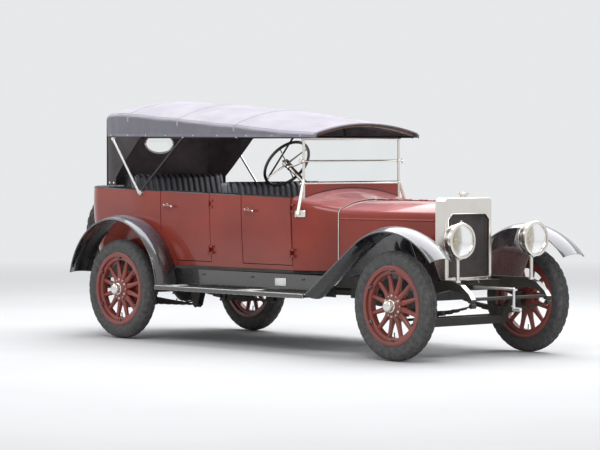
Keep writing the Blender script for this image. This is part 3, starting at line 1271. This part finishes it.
def door_trim(x0, x1, z0, z1, kind):
    """Leather card inside a door with a welted edge, a flap pocket and a pull strap."""
    s = Shape()

    def rear_edge(z):
        d = 668 ** 2 - (z - AXLE_Z) ** 2
        return max(x1, REAR_X + sqrt(d)) if kind == "rear" and d > 0 else x1

    def at(x, z, out):
        return (x, side_y(x, z) - 45 - out, z)

    rows = []
    for v in steps(0, 1, 14):
        z = lerp(z0, z1, v)
        row = []
        for u in steps(0, 1, 22):
            puff = 4 * smooth(min(u, 1 - u, v, 1 - v) / 0.09) + 2
            row.append(at(lerp(x0, rear_edge(z), u), z, puff))
        rows.append(row)
    s.grid(rows, flip=True)
    loop = [(x0, z) for z in steps(z0, z1, 2)]
    loop += [(lerp(x0, rear_edge(z1), t), z1) for t in (0.25, 0.5, 0.75, 1)]
    loop += [(rear_edge(z), z) for z in steps(z1, z0, 10)[1:]]
    loop += [(lerp(rear_edge(z0), x0, t), z0) for t in (0.3, 0.6, 0.9)]
    s.tube([at(x, z, 2.5) for x, z in loop], 3.6, 8, 1, closed=True)
    px0, px1 = (x0 - 60, x0 - 330) if kind == "rear" else (x0 - 90, x0 - 400)
    pz0, pz1 = 760, 905
    rows = []
    for j in range(8):
        v = j / 7
        row = []
        for i, u in enumerate(steps(0, 1, 14)):
            bulge = 6.5 + 11 * sin(pi * u) * sin(pi * min(v, 0.62)) ** 0.7
            row.append(at(lerp(px0, px1, u), lerp(pz0, pz1, v), bulge if 0 < i < 14 and j > 0 else 5))
        rows.append(row)
    s.grid(rows, flip=True)
    flap = []
    for z, out, drop in ((22, 6.5, 0), (14, 9.5, 0), (-4, 19, 0), (-30, 21.5, 16), (-46, 20.5, 16),
                         (-47, 18.5, 16), (-30, 18.8, 16), (-4, 15, 0)):
        flap.append([at(lerp(px0 + 8, px1 - 8, u), pz1 + z - drop * sin(pi * u), out)
                     for u in steps(0, 1, 14)])
    s.grid(flap, flip=True)
    s.lathe([(0, 8), (-3, 7.5), (-5, 4), (-5.5, TIP)], at((px0 + px1) / 2, pz1 - 52, 22), "y", 14, 2)
    # Inside handle on its plate
    hx = rear_edge(1080) + 60
    c = at(hx, 1085, 4)
    s.knob([(0, 17), (-3, 16), (-4, 9), (-20, 7.5), (-22, 5)], c, "y", 20, 2)
    s.tube([(hx, c[1] - 19, 1085), (hx + 30, c[1] - 22, 1083), (hx + 66, c[1] - 21, 1079)],
           [7, 5.6, 4.6], 10, 2)
    return s


for kind, x0, x1 in DOORS:
    card = door_trim(x0 - 16, x1 + 16, 696, 1158, kind)
    door = "door_" + kind + "_%s"
    card.make_sides(door + "_card", [TRIM, LEATHER, NICKEL], "seat_leather", door)

# Outside handles over the plain ones
for kind, hx, hz in (("front", -1800, 1085), ("rear", -2780, 1105)):
    y = side_y(hx, hz)
    s = Shape()
    s.lathe([(-2, 21.5), (2, 22), (5.5, 20), (7, 13.6), (23, 12.4), (25, 13.8)], (hx, y, hz), "y")
    hub = [(16, TIP), (17, 10), (22, 14), (30, 15.2), (38, 13.5), (43.5, 8), (45, TIP)]
    s.lathe(hub, (hx, y, hz), "y", 28)
    lever = ((4, 30, 0, 11.5), (20, 30.6, -1, 9.2), (60, 31.6, -2.6, 8.8), (88, 32, -4, 10.4),
             (100, 32, -4.2, 10), (105, 32, -4.4, 5.5))
    s.tube([(hx + dx, y + dy, hz + dz) for dx, dy, dz, _ in lever], [r for *_, r in lever], 14)
    s.make_sides("handle_" + kind + "_%s", [NICKEL], "nickel", "door_" + kind + "_%s")


# Bonnet and scuttle trim
def on_bonnet(x, out, z):
    """Place on the bonnet's side."""
    return (x, lerp(392, 248, (x + 955) / 903) + out, z)


s = Shape()
for x in (-250, -760):
    h = on_bonnet(x, 0, 0)[1]
    # Clamp on the lower edge, its spring and wing
    s.box(x - 16, x + 16, h - 2, h + 4, 694, 742, 2)
    s.knob([(2, 7), (16, 7), (18, 9.5), (24, 9.5), (26, 6)], (x, h, 716), "y", 16)
    s.box(x - 26, x + 26, h + 15, h + 22, 711, 721, 3)
for x in (-557, -453):
    s.lathe([(-2, 13), (3, 13), (5, 8), (22, 6.5)], on_bonnet(x, 0, 780), "y", 20)
s.tube([on_bonnet(-505 + dx, out, 780) for dx, out in ((-56, 21), (-40, 27), (40, 27), (56, 21))],
       [6, 7, 7, 6], 12)
# Moulding line and its small hinge knuckles along the side
s.tube([on_bonnet(x, 0.4, 1030) for x in steps(-949, -58, 12)], 5.8, 10, 1)
for i in range(9):
    x = -900 + i * 100
    s.tube([on_bonnet(x, 2.6, 1030), on_bonnet(x + 34, 2.6, 1030)], 4.9, 8, 1)
s.make_sides("bonnet_%s_fittings", [NICKEL, RED], "nickel", "bonnet_%s")
Shape().tube([(-962, 0, 1174), (-940.5, 0, 1174)], 7, 12).make("bonnet_rod_end", [NICKEL], "nickel")
bead = whole(arch(394.6, 1096.4, 1182.6, 58, 8, 8, 18, 640, 0.2), -964)
Shape().tube(bead, 4.4, 8).make("scuttle_bead", [NICKEL], "nickel")


def scuttle_top(x, y):
    """Height of the scuttle's skin."""
    h, s, c = table_at(SCUTTLE, x)
    g = c - s
    big = (h * h + g * g) / (2 * g)
    return c - big + sqrt(max(1, big * big - y * y))


# Fixed panel that closes the gap under the windscreen, with its rubber lip
SCREEN_X = -1236
panel = Shape()
rows = []
for y in steps(-500, 500, 32):
    z = scuttle_top(SCREEN_X, y) - 3
    rows.append([(-1233, y, z), (-1233, y, 1296), (-1239, y, 1296), (-1239, y, z)])
panel.bar(rows)
panel.tube([(SCREEN_X, y, scuttle_top(SCREEN_X, y) + 1) for y in steps(-500, 500, 32)], 6.5, 8, 1)
for z, r in ((1311, 4.4), (1480, 3.2)):
    panel.tube([(SCREEN_X, -504, z), (SCREEN_X, 504, z)], r, 8, 1)
panel.make("screen_panel", [RED, MAT], "body_paint")

screen = Shape()
for z in (1300, 1473, 1650):
    screen.lathe([(505, 15), (524, 15), (528, 12), (531, 7)], (SCREEN_X, 0, z), "y", 20)
screen.knob([(528, 6), (545, 6), (549, 10.5), (557, 10.5), (560, 7)], (SCREEN_X, 0, 1473), "y", 16)
screen.box(-1243, -1229, 549, 556, 1452, 1494, 3)
screen.lathe([(528, 5), (536, 5), (539, 8), (545, 8), (547, TIP)], (SCREEN_X, 0, 1300), "y", 16)
# Feet bolted to the scuttle's shoulders
screen.box(-1254, -1166, 586, 596, 1040, 1096, 6, 0,
           lambda p: (p[0], p[1] - 18 + (p[0] + 1210) * -0.36, p[2]))
for dx, z in ((-36, 1054), (-36, 1082), (26, 1054), (26, 1082)):
    screen.knob([(0, 6), (3, 6), (5, 3.5)], (-1210 + dx, 577 - dx * 0.36, z), "y", 8)
screen.both().make("screen_fittings", [NICKEL, MAT], "nickel")

# Seats
ACROSS_CAR = Vector((0, 1, 0))
SWELL = 0.024  # most that the cloth pressure may move a pad's skin, metres
DEPTH = 0.013  # depth of the sewn channels, metres
FRAMES = 16


def swollen(obj, held):
    """Places of a closed skin after cloth simulation with pressure inside."""
    scene = bpy.context.scene
    obj.vertex_groups.new(name="held").add(held, 1, "REPLACE")
    cloth = obj.modifiers.new("cloth", "CLOTH")
    c = cloth.settings
    c.use_pressure = True
    c.uniform_pressure_force = 4
    c.effector_weights.gravity = 0
    c.tension_stiffness = c.compression_stiffness = 18
    c.shear_stiffness = 9
    c.bending_stiffness = 2
    c.quality = 5
    c.vertex_group_mass = "held"
    cloth.collision_settings.use_collision = False
    scene.frame_start, scene.frame_end = 1, FRAMES + 2
    for frame_no in range(1, FRAMES + 1):
        scene.frame_set(frame_no)
    dg = bpy.context.evaluated_depsgraph_get()
    got = [v.co.copy() for v in obj.evaluated_get(dg).data.vertices]
    obj.modifiers.clear()
    scene.frame_set(1)
    return got


def pad(name, corner, along, out, length, width, thick, node):
    """Padded bench part: closed pad, swelled by cloth pressure, with sewn channels and welts.

    corner is the middle of the pad's lower rear edge, along runs up or forward over the padded
    face, out is the face's outward direction; all in the row frame, sizes in metres.
    """
    corner, along, out = Vector(corner), Vector(along).normalized(), Vector(out).normalized()
    na, ny, nn = max(8, int(length / 0.020)), max(8, int(width / 0.020)), max(3, int(thick / 0.024))
    e = 0.010  # the skin starts this far inside the full size
    round_at = 0.05

    def place(i, j, k):
        ra = (i / na - 0.5) * (length - 2 * e)
        ry = (j / ny - 0.5) * (width - 2 * e)
        rn = k / nn * (thick - 0.012)
        # Round the outer corners of the lattice
        ca, cy = max(0, abs(ra) - (length / 2 - round_at)), max(0, abs(ry) - (width / 2 - round_at))
        if ca > 0 and cy > 0 and k / nn > 0.2:
            f = min(1, 0.042 / hypot(ca, cy))
            ra = copysign(length / 2 - round_at + ca * f, ra)
            ry = copysign(width / 2 - round_at + cy * f, ry)
        return corner + along * (ra + length / 2) + ACROSS_CAR * ry + out * rn

    index, base = {}, []
    for i in range(na + 1):
        for j in range(ny + 1):
            for k in range(nn + 1):
                if i in (0, na) or j in (0, ny) or k in (0, nn):
                    index[i, j, k] = len(base)
                    base.append(place(i, j, k))
    faces = []

    def quad(*corners):
        faces.append(tuple(index[c] for c in corners))

    for i in range(na):
        for j in range(ny):
            quad((i, j, nn), (i + 1, j, nn), (i + 1, j + 1, nn), (i, j + 1, nn))
            quad((i, j, 0), (i, j + 1, 0), (i + 1, j + 1, 0), (i + 1, j, 0))
    for i in range(na):
        for k in range(nn):
            quad((i, 0, k), (i + 1, 0, k), (i + 1, 0, k + 1), (i, 0, k + 1))
            quad((i, ny, k), (i, ny, k + 1), (i + 1, ny, k + 1), (i + 1, ny, k))
    for j in range(ny):
        for k in range(nn):
            quad((0, j, k), (0, j, k + 1), (0, j + 1, k + 1), (0, j + 1, k))
            quad((na, j, k), (na, j + 1, k), (na, j + 1, k + 1), (na, j, k + 1))
    if along.cross(ACROSS_CAR).dot(out) < 0:
        faces = [tuple(reversed(f)) for f in faces]
    mesh = bpy.data.meshes.new(name)
    mesh.from_pydata(base, [], faces)
    obj = link(name, mesh)
    got = swollen(obj, [index[t] for t in index if t[2] == 0])
    for n, (b, g) in enumerate(zip(base, got)):
        d = g - b
        d = d * min(1, SWELL / max(d.length, 1e-9))
        # A flat seat where the pad rests
        if d.dot(out) < 0 and (b - corner).dot(out) < 0.004:
            d -= out * d.dot(out)
        mesh.vertices[n].co = b + d
    sub = obj.modifiers.new("subdivision", "SUBSURF")
    sub.levels = sub.render_levels = 2
    shown_mesh(obj)
    mesh = obj.data
    mesh.materials.clear()
    mesh.materials.append(LEATHER)
    shade_smooth(mesh)
    # Sewn channels, pressed in after the swelling; they run out over the front or upper edge
    for v in mesh.vertices:
        p = v.co - corner
        a, y, n = p.dot(along), p.dot(ACROSS_CAR), p.dot(out)
        face = smooth((n - thick * 0.45) / (thick * 0.4))
        face = max(face, smooth((a - (length - 0.03)) / 0.03) * smooth((n - 0.02) / 0.03))
        fade = smooth((min(a, width / 2 - abs(y)) - 0.012) / 0.05) * face
        dent = DEPTH * (1 - abs(sin(pi * (y + CHANNEL / 2) / CHANNEL)) ** 0.55)
        direction = out if n > thick * 0.62 else (out + along * 0.8).normalized()
        v.co -= direction * dent * fade
    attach(obj, "chassis")
    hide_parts(node)
    # Welt along the border of the padded face
    loop = [(i, 0, nn) for i in range(na)] + [(na, j, nn) for j in range(ny)]
    loop += [(na - i, ny, nn) for i in range(na)] + [(0, ny - j, nn) for j in range(ny)]
    line = [mesh.vertices[index[t]].co.copy() for t in loop]
    for _ in range(2):
        line = [(line[q - 1] + line[q] * 2 + line[(q + 1) % len(line)]) / 4 for q in range(len(line))]
    welt = Shape()
    welt.tube([((p.x - X0) * 1000, p.y * 1000, p.z * 1000) for p in line], 4.2, 8, closed=True)
    welt.make(name + "_welt", [WELT], "seat_leather", angle=60)


pad("rear_seat_pad", (st(-3388), 0, 0.862), (1, 0, 0), (0, 0, 1), 0.526, 1.056, 0.134, "rear_seat_cushion")
pad("front_seat_pad", (st(-2148), 0, 0.882), (1, 0, 0), (0, 0, 1), 0.496, 1.036, 0.124, "front_seat_cushion")
pad("rear_seat_squab", (st(-3432), 0, 1.002), (-0.09, 0, 0.372), (0.372, 0, 0.09), 0.366, 1.056, 0.100,
    "rear_seat_back")
pad("front_seat_squab", (st(-2198), 0, 1.012), (-0.05, 0, 0.302), (0.302, 0, 0.05), 0.300, 1.036, 0.092,
    "front_seat_back")

# Back board of the front seat with its robe rail and carpet panel
seat = Shape()


def lean(p):
    return (p[0] - (p[2] - 1010) * 50 / 302, p[1], p[2])


seat.box(-2206, -2197, -505, 505, 884, 1298, 4, 0, lean)
seat.box(-2210, -2205, -470, 470, 905, 1180, 2, 1, lean)
seat.tube([(-2236, -400, 1236), (-2262, -396, 1238), (-2264, -300, 1232), (-2266, 0, 1222),
           (-2264, 300, 1232), (-2262, 396, 1238), (-2236, 400, 1236)], 9, 10, 2)
for y in (-400, 400):
    seat.lathe([(-34, 6), (-28, 19), (-25, 19)], (-2212, y, 1236), "x", 20, 2, caps=True)
# Side wings that close the seat ends
for k in (-1, 1):
    seat.box(-2150, -2085, k * 508, k * 524, 884, 1150, 6, 0, lean)
seat.make("front_seat_board", [TRIM, FELT, NICKEL], "seat_leather")

# Floor, dash and controls
mats = Shape()
for x0, x1, half in ((-1320, -1675, 505), (-2230, -2880, 520)):
    mats.grid([[(x, y, 629 + 1.4 * sin(x / 37) * sin(j)) for j, y in enumerate(steps(-half, half, 40))]
               for x in steps(x0, x1, 24)])
    mats.tube([(x0, -half, 629), (x0, half, 629), (x1, half, 629), (x1, -half, 629)], 4, 6, 1, closed=True)
mats.box(-1100, -1102, -440, 440, 640, 820, 1, 1, lambda p: (p[0] - (p[2] - 640) * -0.5, p[1], p[2]))
mats.make("cabin_carpets", [FELT, TRIM], "floor_cover")
heel = Shape()
for y in (-300, 250):
    heel.box(-1560, -1330, y - 150, y + 150, 629, 632, 2)
    for i in range(12):
        x = -1550 + i * 18
        heel.box(x, x + 8, y - 140, y + 140, 631.6, 634.4, 1)
heel.make("heel_mats", [MAT], "floor_cover")

dash = Shape()


def dash_top(y):
    """Upper edge of the fascia, under the scuttle's skin."""
    if y < 500:
        return scuttle_top(-1281, y) - 34
    return lerp(scuttle_top(-1281, 500) - 34, 1110, (y - 500) / 40)


rows = []
for y in steps(-540, 540, 40):
    z = dash_top(abs(y))
    rows.append([(-1280.5, y, 990), (-1284.5, y, 992), (-1284.5, y, z - 2), (-1280.5, y, z)])
dash.bar(rows)
dash.tube([(-1285, y, 989) for y in steps(-540, 540, 20)], 6, 8, 1)
for y, z, r in ((-30, 1128, 46), (-140, 1110, 31), (80, 1110, 31), (-30, 1042, 24), (170, 1100, 24)):
    c = (0, y, z)
    dash.lathe([(-1284, r + 6), (-1290, r + 6.5), (-1296, r + 4), (-1297, r), (-1292, r - 1)], c, "x", 40, 2)
    dash.knob([(-1286, r), (-1287.2, r - 1)], c, "x", 40, 3)
    # Plain marks round the dial, long at every third, and a hand
    for k in range(19):
        a = radians(-135 + 15 * k)
        u, v = sin(a), cos(a)
        start, w = (0.72, 0.9) if k % 3 == 0 else (0.82, 0.5)
        mark = ((r * start, w), (r * 0.92, w), (r * 0.92, -w), (r * start, -w))
        dash.add([(-1287.8, y - u * q + v * d, z + v * q + u * d) for q, d in mark], [(0, 1, 2, 3)], 4)
    a = radians(-100 + r * 2)
    u, v = sin(a), cos(a)
    dash.box(-1290, -1289, -1.1, 1.1, -r * 0.2, r * 0.78, 0.3, 4,
             lambda p, y=y, z=z, u=u, v=v: (p[0], y - u * p[2] + v * p[1], z + v * p[2] + u * p[1]))
    dash.lathe([(-1287, 3.4), (-1291.5, 3.2), (-1292, TIP)], c, "x", 14, 2)
for y, z in ((-225, 1060), (-95, 1045), (35, 1045), (110, 1040), (240, 1070), (300, 1070)):
    dash.knob([(-1284, 12), (-1287, 12), (-1289, 6), (-1304, 5), (-1306, 10), (-1314, 11), (-1318, 7)],
              (0, y, z), "x", 20, 5 if y > 100 else 2)
dash.knob([(-1284, 25), (-1288, 25), (-1292, 20)], (0, 390, 1080), "x", 28, 2)
dash.make("fascia", [FASCIA, TRIM, NICKEL, IVORY, IRONS, MAT], "nickel", angle=30)

# Steering wheel: ebonised rim, nickel spokes and hub with its two hand controls
HUB = Vector((-1690, -285, 1452))
RAKE = radians(34.5)
axis = Vector((cos(RAKE), 0, -sin(RAKE)))
u_dir, v_dir = Vector((0, 1, 0)), Vector((sin(RAKE), 0, cos(RAKE)))


def on_wheel(r, a, d):
    """Place at radius r and angle a in the wheel's plane, d down the column."""
    return HUB + (u_dir * cos(a) + v_dir * sin(a)) * r + axis * d


wheel = Shape()
rows = []
for i in range(96):
    a = 360 * i / 96
    grip = 0.75 * sin(radians(a * 32)) ** 2
    row = []
    for b in circle(14):
        r = 12 - grip * max(0, sin(b))
        row.append(on_wheel(208 + r * cos(b), radians(a), r * sin(b)))
    rows.append(row)
wheel.grid(rows, wrap=True, loop=True)
for k in range(4):
    a = radians(45 + 90 * k)
    spine = [on_wheel(r, a, d) for r, d in ((22, 3), (60, 2), (110, 0.5), (160, 0), (186, 0), (201, 0))]
    wheel.tube(spine, [8.6, 7.4, 6.4, 6.2, 7.4, 9.5], 12, 1, squash=0.75, up=axis)
hub_profile = ((-26, 12), (-26, 25), (-23, 29), (-14, 31), (14, 31), (22, 27), (23, 18))
wheel.bar([[on_wheel(r, a, d) for a in circle(32)] for d, r in hub_profile], 1, flip=True)
wheel.make("steering_rim", [RIM_WOOD, NICKEL], "nickel", ["steering_wheel"], 40, body="steering_wheel")
column = Shape()
column.tube([HUB + axis * 60, HUB + axis * 300, HUB + axis * 560], 19.5, 20)
collar = ((40, 17.5), (40, 27), (47, 29), (56, 29), (62, 24), (64, 19))
column.grid([[on_wheel(r, a, d) for a in circle(24)] for d, r in collar], wrap=True, flip=True)
for d, deg in ((50, 150), (57, 25)):
    a = radians(deg)
    column.tube([on_wheel(r, a, d) for r in (20, 70, 106)], [4, 3.4, 3], 8)
    column.tube([on_wheel(r, a, d) for r in (104, 112, 124, 130)], [4, 8, 8, 3], 12, 1)
column.make("column_tube", [NICKEL, RIM_WOOD], "nickel")

levers = Shape()
gear_knob = [(-22, TIP), (-20, 9), (-10, 19), (0, 23.5), (12, 21), (21, 10), (23.5, TIP)]
levers.lathe(gear_knob, (-1560, -60, 1010), "z", 24)
levers.lathe([(-60, 11), (-56, 14), (-48, 12)], (-1556, -60, 1040), "z", 16, 1)
levers.tube([(-1543, -130, 925), (-1560, -130, 980), (-1566, -130, 998)], [9, 10.5, 8], 12)
levers.tube([(-1526, -142, 900), (-1549, -146, 968), (-1556, -144, 992)], [3, 3, 3.4], 8, 1)
for y in (-400, -240):
    levers.box(-1212, -1203, y - 29, y + 29, 776, 854, 3, 2)
    for z in range(783, 853, 14):
        levers.box(-1214.5, -1211, y - 24, y + 24, z, z + 6, 1.2, 2)
levers.tube([(-1208, -180, 800), (-1208, -180, 846)], 12, 12, 1)
levers.make("control_grips", [RIM_WOOD, NICKEL, MAT], "nickel")

# Lining of the fixed body sides
lining = Shape()
BELT = 1158
for x0, x1, z0 in ((-1884, -2240, 640), (-2866, -3396, 690)):
    rows = []
    for j, z in enumerate(steps(z0, BELT, 12)):
        row = []
        for i, x in enumerate(steps(x0, x1, 18)):
            puff = 3.4 * smooth(min(i, 18 - i, j * 1.5, (12 - j) * 1.5) / 2)
            row.append((x, side_y(x, z) - 41.5 - puff, z))
        rows.append(row)
    lining.grid(rows, flip=True)
    edge = [(x, BELT) for x in steps(x0, x1, 8)] + [(x1, z) for z in steps(BELT, z0, 8)[1:]]
    edge += [(x, z0) for x in steps(x1, x0, 8)[1:]] + [(x0, z) for z in steps(z0, BELT, 8)[1:-1]]
    lining.tube([(x, side_y(x, z) - 43, z) for x, z in edge], 3.4, 8, 1, closed=True)
rows = []
for z in (985, 1040, 1100, BELT):
    rows.append(tail_path(-3400, 43 + (1285 - z) / 96, lambda x, z=z: z))
lining.grid(rows, flip=True)
lining.tube([(x, y, BELT - 1) for x, y, _ in rows[-1]], 3.4, 8, 1)
lining.both().make("body_lining", [TRIM, LEATHER], "seat_leather")

# Engine dressing
motor = Shape()
motor.box(-812, -128, -118, 118, 955, 1014, 6)
motor.box(-836, -124, -180, 180, 629, 646, 3)
for x in (-230, -390, -550, -710):
    for y in (-56, 56):
        motor.lathe([(652, 66), (664, 71), (940, 71), (954, 66)], (x, y, 0), "z")
    # Spark plug without its lead, and a priming cup
    motor.lathe([(1013, 13), (1024, 13), (1025, 9), (1030, 8.5)], (x, -48, 0), "z", 6, 2)
    motor.lathe([(1030, 8), (1036, 8.6), (1052, 6), (1060, 4.6), (1061, TIP)], (x, -48, 0), "z", 14, 3)
    motor.knob([(1059, 4), (1066, 4.4), (1070, 3)], (x, -48, 0), "z", 10, 2)
    motor.lathe([(1013, 8), (1019, 8), (1020, 4), (1032, 4), (1034, 9), (1042, 10), (1042, 7), (1036, TIP)],
                (x, 46, 0), "z", 12, 2)
    # Exhaust stub with its clamp
    motor.tube([(x, 112, 800), (x, 152, 800)], 21, 16, 1)
    motor.box(x - 34, x + 34, 124, 132, 778, 822, 4, 1)
    for dx in (-27, 27):
        motor.knob([(132, 7), (140, 7), (141, 3.5), (146, 3.5)], (x + dx, 0, 800), "y", 6, 4)
for y in (-100, 100):
    for i in range(7):
        motor.lathe([(1013, 12), (1023, 12), (1025, 9), (1025, 5), (1032, 5), (1033, TIP)],
                    (-175 - 100 * i, y, 0), "z", 6, 4)
motor.tube([(-205, 152, 800), (-735, 152, 800)], 23, 18, 1)
# Water outlet and its hose to the radiator
motor.lathe([(1010, 42), (1019, 42), (1021, 27), (1050, 26)], (-175, 0, 0), "z", 28, 4)
motor.tube([(-175, 0, 1040), (-173, 0, 1062), (-160, 0, 1076), (-140, 0, 1080), (-41, 0, 1080)], 27, 20, 5)
for x in (-128, -56):
    motor.lathe([(-5, 28), (-5, 30), (5, 30), (5, 28)], (x, 0, 1080), "x", 28, 4)
# Inlet pipe, carburettor and float bowl on the right
inlet = [(160, 112, 830), (160, 158, 828), (140, 178, 812), (80, 190, 790)]
motor.tube([(-470 + dx, -y, z) for dx, y, z in inlet] + [(-470, -192, 782)]
           + [(-470 - dx, -y, z) for dx, y, z in reversed(inlet)], 20, 16)
barrel = [(700, TIP), (700, 20), (708, 27), (716, 27), (720, 24), (762, 24), (766, 30), (774, 30), (776, 22)]
motor.lathe(barrel, (-470, -192, 0), "z", 28, 2)
bowl = [(676, TIP), (676, 26), (680, 33), (728, 33), (734, 29), (738, 9), (748, 8)]
motor.knob(bowl, (-404, -196, 0), "z", 28, 2)
motor.tube([(-440, -194, 712), (-404, -196, 706)], 8, 10, 2)
motor.tube([(-492, -192, 740), (-540, -192, 740), (-560, -192, 738)], [19, 21, 27], 18, 4)
# Magneto on the right shelf and the oil filler on the left
motor.box(-700, -600, -178, -128, 646, 668, 3)
motor.tube([(-692, -154, 706), (-612, -154, 706)], 36, 24, 5)
motor.knob([(-612, 36), (-606, 36), (-602, 26), (-588, 26), (-586, 12)], (0, -154, 706), "x", 24, 4)
motor.tube([(-775, 146, 640), (-775, 150, 700), (-775, 156, 742)], 21, 16)
motor.knob([(740, 25), (742, 29), (756, 29), (760, 20)], (-775, 156, 0), "z", 24, 2)
# Fan and its bracket
motor.tube([(-134, 0, 860), (-96, 0, 860)], 15, 16)
motor.lathe([(-112, 40), (-104, 42), (-98, 30), (-94, 18), (-93, TIP)], (0, 0, 860), "x", 28, 4)
motor.lathe([(-124, 38), (-120, 36), (-116, 38)], (0, 0, 860), "x", 28, 4)
for k in range(4):
    a = radians(35 + 90 * k)
    rows = []
    for r, w, pitch in ((30, 20, 50), (60, 28, 42), (105, 36, 33), (146, 38, 27), (154, 30, 26)):
        s, c = sin(radians(pitch)), cos(radians(pitch))
        row = []
        for u, t in ((-1, 1), (0, 2.2), (1, 1), (1, -1), (0, 0.2), (-1, -1)):
            wide, deep = u * w * c - t * s, u * w * s + t * c
            row.append((-104 + deep * 0.5, r * cos(a) - wide * sin(a), 860 + r * sin(a) + wide * cos(a)))
        rows.append(row)
    motor.bar(rows, 4)
# Bolts round the crankcase flange and the side plates of the valves
for y in (-176, 176):
    for i in range(12):
        motor.knob([(645, 8), (652, 8), (653, 5)], (-150 - 60 * i, y, 0), "z", 6, 4)
for x in (-310, -630):
    motor.box(x - 66, x + 66, 112, 131, 668, 756, 4, 4)
    motor.knob([(130, 15), (140, 14), (143, 6)], (x, 0, 712), "y", 20, 2)
motor.make("engine_dressing", [ENGINE, DARK_IRON, BRASS, IVORY, BRIGHT, MAT], "engine_iron")

# Frame rivets, worn tops of the dumb irons, brake shaft and rods
under = Shape()
for x in (20, -925, -1900, -2700, -3800):
    for dx in (-18, 18):
        for z in (518, 548, 578):
            under.lathe([(429.6, 8), (432.4, 7), (434.2, 3.4), (434.4, TIP)], (x + dx, 0, z), "y", 12)
for a, b in (((398, 567.3), (480, 505.8)), ((481, 504.6), (510, 463.5))):
    n = Vector((a[1] - b[1], 0, b[0] - a[0])).normalized()
    section = ((381.5, 0), (382.5, 1.8), (427.5, 1.8), (428.5, 0), (428.5, -1), (381.5, -1))
    under.bar([[(x + n.x * h, y, z + n.z * h) for y, h in section] for x, z in (a, b)], 1)
for dx in (-34, 34):
    under.lathe([(356, 11), (366, 11), (368, 7), (376, 6)], (-3258 + dx, SPRING_Y, 0), "z", 6)
under.box(-1911, -1889, 462, 476, 424, 496, 3)
under.tube([(-1900, 469, 434), (-2500, 512, 428), (-3150, 556, 424)], 5.5)
for x, y, z in ((-1912, 470, 434), (-3138, 555, 424)):
    under.box(x - 16, x + 16, y - 8, y + 8, z - 8, z + 8, 3)
    under.lathe([(y - 12, 4.5), (y + 12, 4.5)], (x, 0, z), "y", 10, 1, caps=True)
under.box(-3166, -3142, 549, 563, 412, 492, 4)
under.tube([(-3154, 552, 484), (-3154, 598, 484)], 9, 12)
under.both()
under.tube([(-1900, -480, 488), (-1900, 480, 488)], 11, 14)
# Bolts and rib round the rear axle's middle
for a in circle(12):
    place = (REAR_X + 134 * cos(a), 0, AXLE_Z + 134 * sin(a))
    under.knob([(-82, 7), (-74, 7), (-72, 4)], place, "y", 6)
under.lathe([(-9, 128), (-9, 141), (9, 141), (9, 128)], (REAR_X, 0, AXLE_Z), "y", 48)
under.make("under_fittings", [CHASSIS, BRIGHT], "chassis_paint")

# Clamps and lugs that hold the spare on its carrier
clamps = Shape()
for y in (-150, 150):
    for z in (612, 1088):
        clamps.box(-4174, -4168.4, y - 17, y + 17, z - 30, z + 30, 3)
        clamps.lathe([(-4174, 10), (-4179, 10), (-4179.4, TIP)], (0, y, z), "x", 6, 1)
        clamps.box(-4010, -3996, y - 20, y + 20, z - 16, z + 16, 3)
clamps.make("spare_clamps", [BLACK, BRIGHT], "black_enamel")
